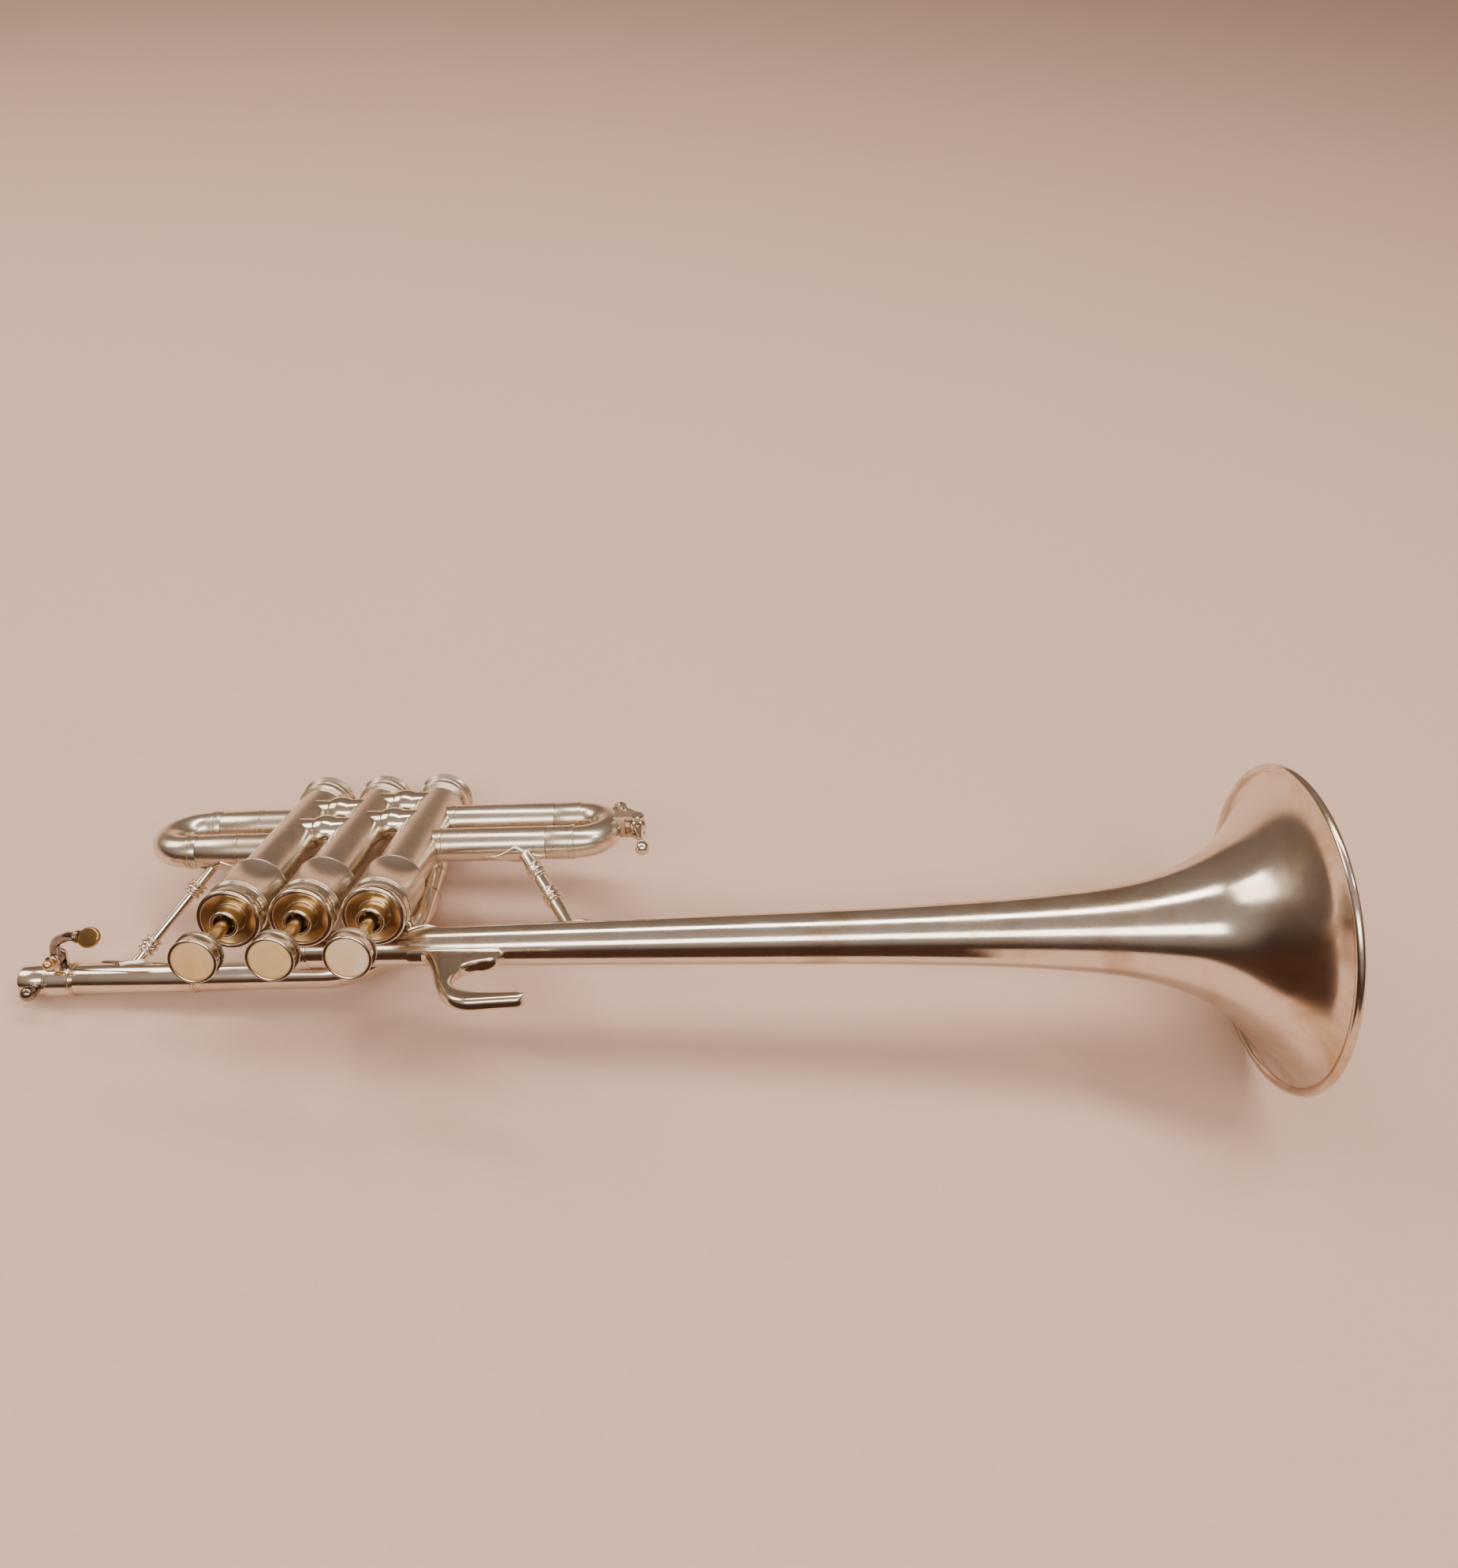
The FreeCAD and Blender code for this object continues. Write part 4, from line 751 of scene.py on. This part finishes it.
def clamp():
    """The ferrule round the sleeve's end with two ears, and the pin with its ball."""
    ear, radius = 2.6, 6.5
    ring = pipe(0.0, 11.0, radius, 5.9, [band(1.1, 0.7, radius, 0.1), band(9.9, 0.8, radius, 0.3)])
    parts = [turned(ring, line((SLEEVE_BACK, LEADPIPE_SIDE, LEADPIPE_HEIGHT), X))]
    outline = arc((0, 0), ear, 0, 180, 24) + [(-ear, -3.8), (ear, -3.8)]
    for low, thickness in ((-3.6, 1.6), (2.3, 1.3)):
        parts.append(slab(outline, CLAMP_PIVOT + Z * (low + thickness / 2), X, Y, thickness, 0.25))
    built("clamp_band", joined(*parts), "body", [SILVER], "clamp_ferrule")
    pin = [(-4.0, 0.0), (-4.0, 1.0), (-3.85, 1.2), (3.6, 1.2)]
    pin += arc((5.4, 0.0), 2.1, 145, 0, 16)[:-1] + [(7.5, 0.0)]
    shape = turned(pin, line(CLAMP_PIVOT, Z), ROD_SIDES)
    built("pin_and_ball", shape, "body", [STEM_BRASS], "clamp_pin")


def lever():
    """The curved arm that turns on the pin, and its oval brass plate."""
    knee, wrist, tip = Vector((1.2, 7.5, 0.6)), Vector((9.0, 11.2, 3.6)), Vector((15.0, 12.2, 6.2))
    route = Route([CLAMP_PIVOT + spot for spot in (Vector((0, 1.3, 0)), knee, wrist, tip)], [7.0, 9.0])
    end = route.length
    arm = [(0.0, 0.0)] + stepped((0.0, 1.9), (end - 2.2, 1.75), 0.6)
    arm += [(end - 2.0, 1.7)] + arc((end - 1.1, 1.9), 0.5, 170, 10, 6) + arc((end, 1.9), 0.5, 170, -60, 8)
    arm += [(end + 0.2, 0.0)]
    hub = [(-1.55, 1.25), (-1.55, 2.3), (-1.4, 2.5), (1.8, 2.5), (1.95, 2.3), (1.95, 1.25)]
    shape = joined(turned(arm, route, ROD_SIDES), turned(hub, line(CLAMP_PIVOT, Z), ROD_SIDES))
    built("cam_arm", shape, "clamp_lever", [DARK_SILVER], "clamp_lever")
    facing = Vector((-0.35, 0.5, 0.79)).normalized()
    length_way = (X - facing * X.dot(facing)).normalized()
    middle = CLAMP_PIVOT + tip + (tip - wrist).normalized() * 5.4
    angles = [k * math.tau / 72 for k in range(72)]
    oval = [(5.4 * math.cos(angle), 3.9 * math.sin(angle)) for angle in angles]
    shape = slab(oval, middle, length_way, facing.cross(length_way), 1.7, 0.7)
    built("thumb_oval", shape, "clamp_lever", [BRASS], "clamp_thumb_plate")


leadpipe()
receiver()
clamp()
lever()


# ---------------------------------------------------------------- braces and hook
def swell(begin, end, thick):
    """A thicker stretch of a brace: a collar at each end and a rounded bead in the middle."""
    middle = (begin + end) / 2
    made = [(begin, thick - 0.2)] + arc((begin + 0.6, thick), 0.55, 170, 10, 8)
    made += [(begin + 1.3, thick - 0.15), (middle - 1.1, thick - 0.25)]
    made += arc((middle, thick - 0.35), 1.0, 165, 15, 8) + [(middle + 1.1, thick - 0.25)]
    made += [(end - 1.3, thick - 0.15)] + arc((end - 0.6, thick), 0.55, 170, 10, 8)
    return made + [(end, thick - 0.2)]


def brace(name, node, first, last, thin, thick, swells, tubes, plates):
    """A turned strut between two tubes, with swells along it and a concave diamond plate on a tube. tubes are
    the two radii, and plates are each plate's half length and half width, or None."""
    first, last = Vector(first), Vector(last)
    way = (last - first).normalized()
    toward = (way - X * way.dot(X)).normalized()
    begin, end = tubes[0] + 0.2, (last - first).length - tubes[1] - 0.2
    outline = [(begin, 0.0), (begin, thin + 0.5), (begin + 0.6, thin + 0.15), (begin + 1.6, thin)]
    for swell_begin, swell_end in swells:
        outline += [(swell_begin - 0.05, thin)] * (swell_begin - 0.05 > outline[-1][0])
        outline += swell(swell_begin, swell_end, thick) + [(swell_end + 0.05, thin)]
    outline += [(end - 1.6, thin), (end - 0.6, thin + 0.15), (end, thin + 0.5), (end, 0.0)]
    parts = [turned(outline, line(first, way), ROD_SIDES)]
    for place, facing, radius, plate in zip((first, last), (toward, -toward), tubes, plates):
        if plate:
            parts.append(wrapped(place, facing, radius, *plate))
    built(name, joined(*parts), "body", [SILVER], node, 40)


def ribbon(outer, inner, middle, thickness, rounding, steps=5):
    """A flat bar with rounded edges between two lines of (x, z) in the plane y = middle."""
    half, points = thickness / 2, []
    for near, far in zip(outer, inner):
        near, far = Vector(near), Vector(far)
        across, width = (far - near).normalized(), (far - near).length
        edge = min(rounding, width / 2)
        section = []
        for begin, end, in_plane, depth in (
                (180, 270, edge, -half + edge), (270, 360, width - edge, -half + edge),
                (0, 90, width - edge, half - edge), (90, 180, edge, half - edge)):
            section += [(in_plane + edge * math.cos(math.radians(begin + (end - begin) * step / steps)),
                         depth + edge * math.sin(math.radians(begin + (end - begin) * step / steps)))
                        for step in range(steps + 1)]
        for in_plane, depth in section:
            flat = near + across * in_plane
            points.append((flat.x, middle + depth, flat.y))
    return points, skinned(len(outer), 4 * (steps + 1))


def hook():
    """The little finger's hook: a strap on the bell tube and a flat, round-edged C that ends in a rod."""
    foot, thick = 101.0, 5.0
    outer = [(37.0, foot), (41.0, 104.0), (43.2, 107.4), (44.8, 110.8), (46.4, 114.6), (48.0, 119.2),
             (50.0, 124.0), (52.6, 128.8), (56.4, 132.8), (61.4, 134.8), (70.0, 134.4), (78.2, 133.8)]
    inner = [(69.0, foot), (68.6, 104.0), (66.6, 107.6), (61.0, 109.4), (56.8, 112.0), (54.6, 116.0),
             (54.5, 120.6), (56.6, 124.4), (60.6, 126.8), (64.8, 127.8), (71.2, 128.2), (78.0, 128.2)]
    outer_line, inner_line = spline(outer, 6), spline(inner, 6)
    tip_middle, tip_half = (outer_line[-1] + inner_line[-1]) / 2, (outer_line[-1] - inner_line[-1]) / 2
    for step in range(1, 8):
        angle = math.pi / 2 * step / 7.3
        spot = tip_middle + Vector((2.8 * math.sin(angle), 0))
        outer_line.append(spot + tip_half * math.cos(angle))
        inner_line.append(spot - tip_half * math.cos(angle))
    parts = [ribbon(outer_line, inner_line, BELL_SIDE, thick, 2.2),
             wrapped((50.8, BELL_SIDE, BELL_HEIGHT), Z, 7.1, 17.4, 3.2, 0.95, 0.0)]
    built("little_finger_hook", joined(*parts), "body", [SILVER], "finger_hook", 45)


ON_LEADPIPE, ON_SLIDE = Vector((-84.0, LEADPIPE_SIDE, LEADPIPE_HEIGHT)), Vector((-50.5, 0, HIGH_PORT))
LEFT_SPAN = (ON_SLIDE - ON_LEADPIPE).length
brace("left_strut", "left_brace", ON_LEADPIPE, ON_SLIDE, 1.9, 2.9,
      [(12.0, 18.0), (LEFT_SPAN - 21.0, LEFT_SPAN - 15.5)], (SLEEVE_RADIUS, SLIDE_RADIUS),
      ((12.0, 4.6), (10.5, 4.6)))
brace("right_strut", "right_brace", (66.0, 0, HIGH_PORT), (95.0, BELL_SIDE, BELL_HEIGHT), 2.5, 2.85,
      [(14.5, 21.5), (29.0, 35.5)], (SLIDE_RADIUS, 8.0), ((12.0, 4.8), (18.0, 5.0)))
brace("tail_strut", "bell_tail_brace", (VALVES[3] + 6.5, -6.0, 89.4),
      (VALVES[3] + 8.0, BELL_SIDE, BELL_HEIGHT), 1.8, 1.8, [], (3.0, 7.2), (None, (9.0, 4.6)))
hook()


# ---------------------------------------------------------------- water key
def water_key():
    """A sprung lever: a hub on its screw, a ball to press, and a domed cup that holds the cork."""
    middle = Vector((88.5, 2.5, 36.5))
    slope = math.radians(42)
    corner = Vector((math.cos(slope), 0, -math.sin(slope)))
    pivot = Vector((112.6, 2.5, 40.0))
    touch = pivot + Vector((3.4, 0, 21.0))
    cork_foot = middle + corner * (11.8 + 6.3 + 1.0)
    reach = (touch - pivot).length
    neck = [(0.0, 0.0), (0.0, 2.4), (3.2, 2.3), (5.0, 1.7), (9.0, 1.35), (reach - 6.0, 1.15)]
    neck += [(reach - 4.6, 1.2)] + arc((reach - 3.6, 1.35), 0.6, 170, 10, 6)
    neck += arc((reach, 0.0), 2.8, 152, 0, 18)[:-1] + [(reach + 2.8, 0.0)]
    hub = [(-3.0, 1.05), (-3.0, 1.6)] + arc((0.0, 0.0), 3.5, 148, 32, 16) + [(3.0, 1.6), (3.0, 1.05)]
    arm = Route([pivot, pivot + Vector((-1.0, 0, -11.0)), cork_foot + corner * 2.4], [6.0])
    rod = stepped((0.0, 1.5), (arm.length, 1.3), 0.8)
    cup = [(1.35, 0.0), (1.35, 2.62), (0.4, 2.62), (0.4, 3.0), (0.55, 3.15), (2.6, 3.15), (2.75, 3.0)]
    angles = [k * math.pi / 16 for k in range(8)]
    cup += [(2.8 + 1.5 * math.sin(angle), 3.0 * math.cos(angle)) for angle in angles]
    cup += [(4.35, 0.0)]
    parts = [turned(neck, line(pivot, touch - pivot), ROD_SIDES), turned(hub, line(pivot, Y), ROD_SIDES),
             turned([(0.0, 0.0)] + rod + [(arm.length, 0.0)], arm, WIRE_SIDES),
             turned(cup, line(cork_foot, corner), ROD_SIDES)]
    built("water_key", joined(*parts), "water_key", [SILVER], "water_key_lever")


water_key()


# ---------------------------------------------------------------- table, lights and camera
def panel(name, spot, size, power, colour):
    """A soft lamp that faces the middle of the table."""
    data = bpy.data.lights.new(name, "AREA")
    data.shape = "RECTANGLE"
    data.size, data.size_y = size
    data.energy = power
    data.color = colour
    lamp = bpy.data.objects.new(name, data)
    lamp.location = spot
    lamp.rotation_euler = (-lamp.location).to_track_quat("-Z", "Y").to_euler()
    bpy.context.scene.collection.objects.link(lamp)


def table():
    """A wide pale floor."""
    half = 3.0
    mesh = bpy.data.meshes.new("table")
    corners = [(-half, -half, 0), (half, -half, 0), (half, half, 0), (-half, half, 0)]
    mesh.from_pydata(corners, [], [(0, 1, 2, 3)])
    mesh.materials.append(table_top())
    top = bpy.data.objects.new("table", mesh)
    bpy.context.scene.collection.objects.link(top)


def room():
    """A soft warm room: dim at the table's level, brighter overhead and on the viewer's side."""
    air = Shader("room", "worlds", "Background", "Generated")
    bpy.context.scene.world = air.owner
    way = air.node("SeparateXYZ", Vector=air.place)
    near = air.ramp(way.outputs["Z"], (0.0, (0.06, 0.03, 0.02)), (0.22, (0.08, 0.05, 0.035)),
                    (0.45, (0.34, 0.26, 0.22)), (0.7, (0.50, 0.40, 0.35)), (1.0, (0.50, 0.40, 0.35)))
    far = air.ramp(way.outputs["Z"], (0.0, (0.20, 0.14, 0.11)), (0.3, (0.27, 0.195, 0.15)),
                   (1.0, (0.34, 0.26, 0.215)))
    share = air.range(way.outputs["Y"], -0.35, 0.35, 0.0, 1.0)
    air.set(Color=air.mix(share, near, far), Strength=0.95)


def painted_shade_reflection():
    """A dark card low in front of the instrument, which only polished metal shows: a faintly glowing sheet that
    paints a reflection of shade into the metal.
    """
    left, right, low, high = -0.9, 0.14, (-0.095, 0.003), (-0.26, 0.09)
    shade = bpy.data.materials.new("painted_shade_reflection")
    shade.use_nodes = True
    # Painted shade: the card's dim brown glow is what the metal reflects as the dark band below its highlights.
    glow = shade.node_tree.nodes.new("ShaderNodeEmission")
    glow.inputs["Color"].default_value = (0.10, 0.042, 0.025, 1.0)
    glow.inputs["Strength"].default_value = 0.8
    shade.node_tree.links.new(glow.outputs[0], shade.node_tree.nodes["Material Output"].inputs["Surface"])
    mesh = bpy.data.meshes.new("painted_shade_reflection")
    mesh.from_pydata([(left, *low), (right, *low), (right, *high), (left, *high)], [], [(0, 1, 2, 3)])
    mesh.materials.append(shade)
    card = bpy.data.objects.new("painted_shade_reflection", mesh)
    card.visible_camera = card.visible_diffuse = card.visible_shadow = card.visible_transmission = False
    bpy.context.scene.collection.objects.link(card)


def camera():
    """The eye is over the table in front of the buttons, looking down and along the instrument's back."""
    data = bpy.data.cameras.new("camera")
    data.lens = 26.54
    data.sensor_width = 36.0
    data.shift_x, data.shift_y = 0.0029, -0.0328
    data.clip_start = 0.01
    eye = bpy.data.objects.new("camera", data)
    turn, tilt, roll = math.radians(1.54), math.radians(43.01), math.radians(2.08)
    look = Vector((math.sin(turn) * math.cos(tilt), math.cos(turn) * math.cos(tilt), -math.sin(tilt)))
    eye.location = (0.02324, -0.27440, 0.38501)
    eye.rotation_mode = "QUATERNION"
    eye.rotation_quaternion = Quaternion(look, -roll) @ look.to_track_quat("-Z", "Y")
    bpy.context.scene.collection.objects.link(eye)
    bpy.context.scene.camera = eye


table()
room()
# Painted reflection of shade, on a card that the camera never sees.
painted_shade_reflection()
panel("long_lamp", (0.15, 0.50, 1.50), (1.8, 0.30), 18.0, (1.0, 0.92, 0.84))
panel("front_lamp", (0.0, -0.85, 1.05), (1.4, 0.35), 10.0, (1.0, 0.93, 0.87))
panel("window", (-1.3, 0.5, 1.2), (0.8, 0.8), 12.0, (1.0, 0.88, 0.76))
panel("small_lamp", (0.9, -0.2, 1.3), (0.09, 0.09), 2.4, (1.0, 0.88, 0.76))
camera()
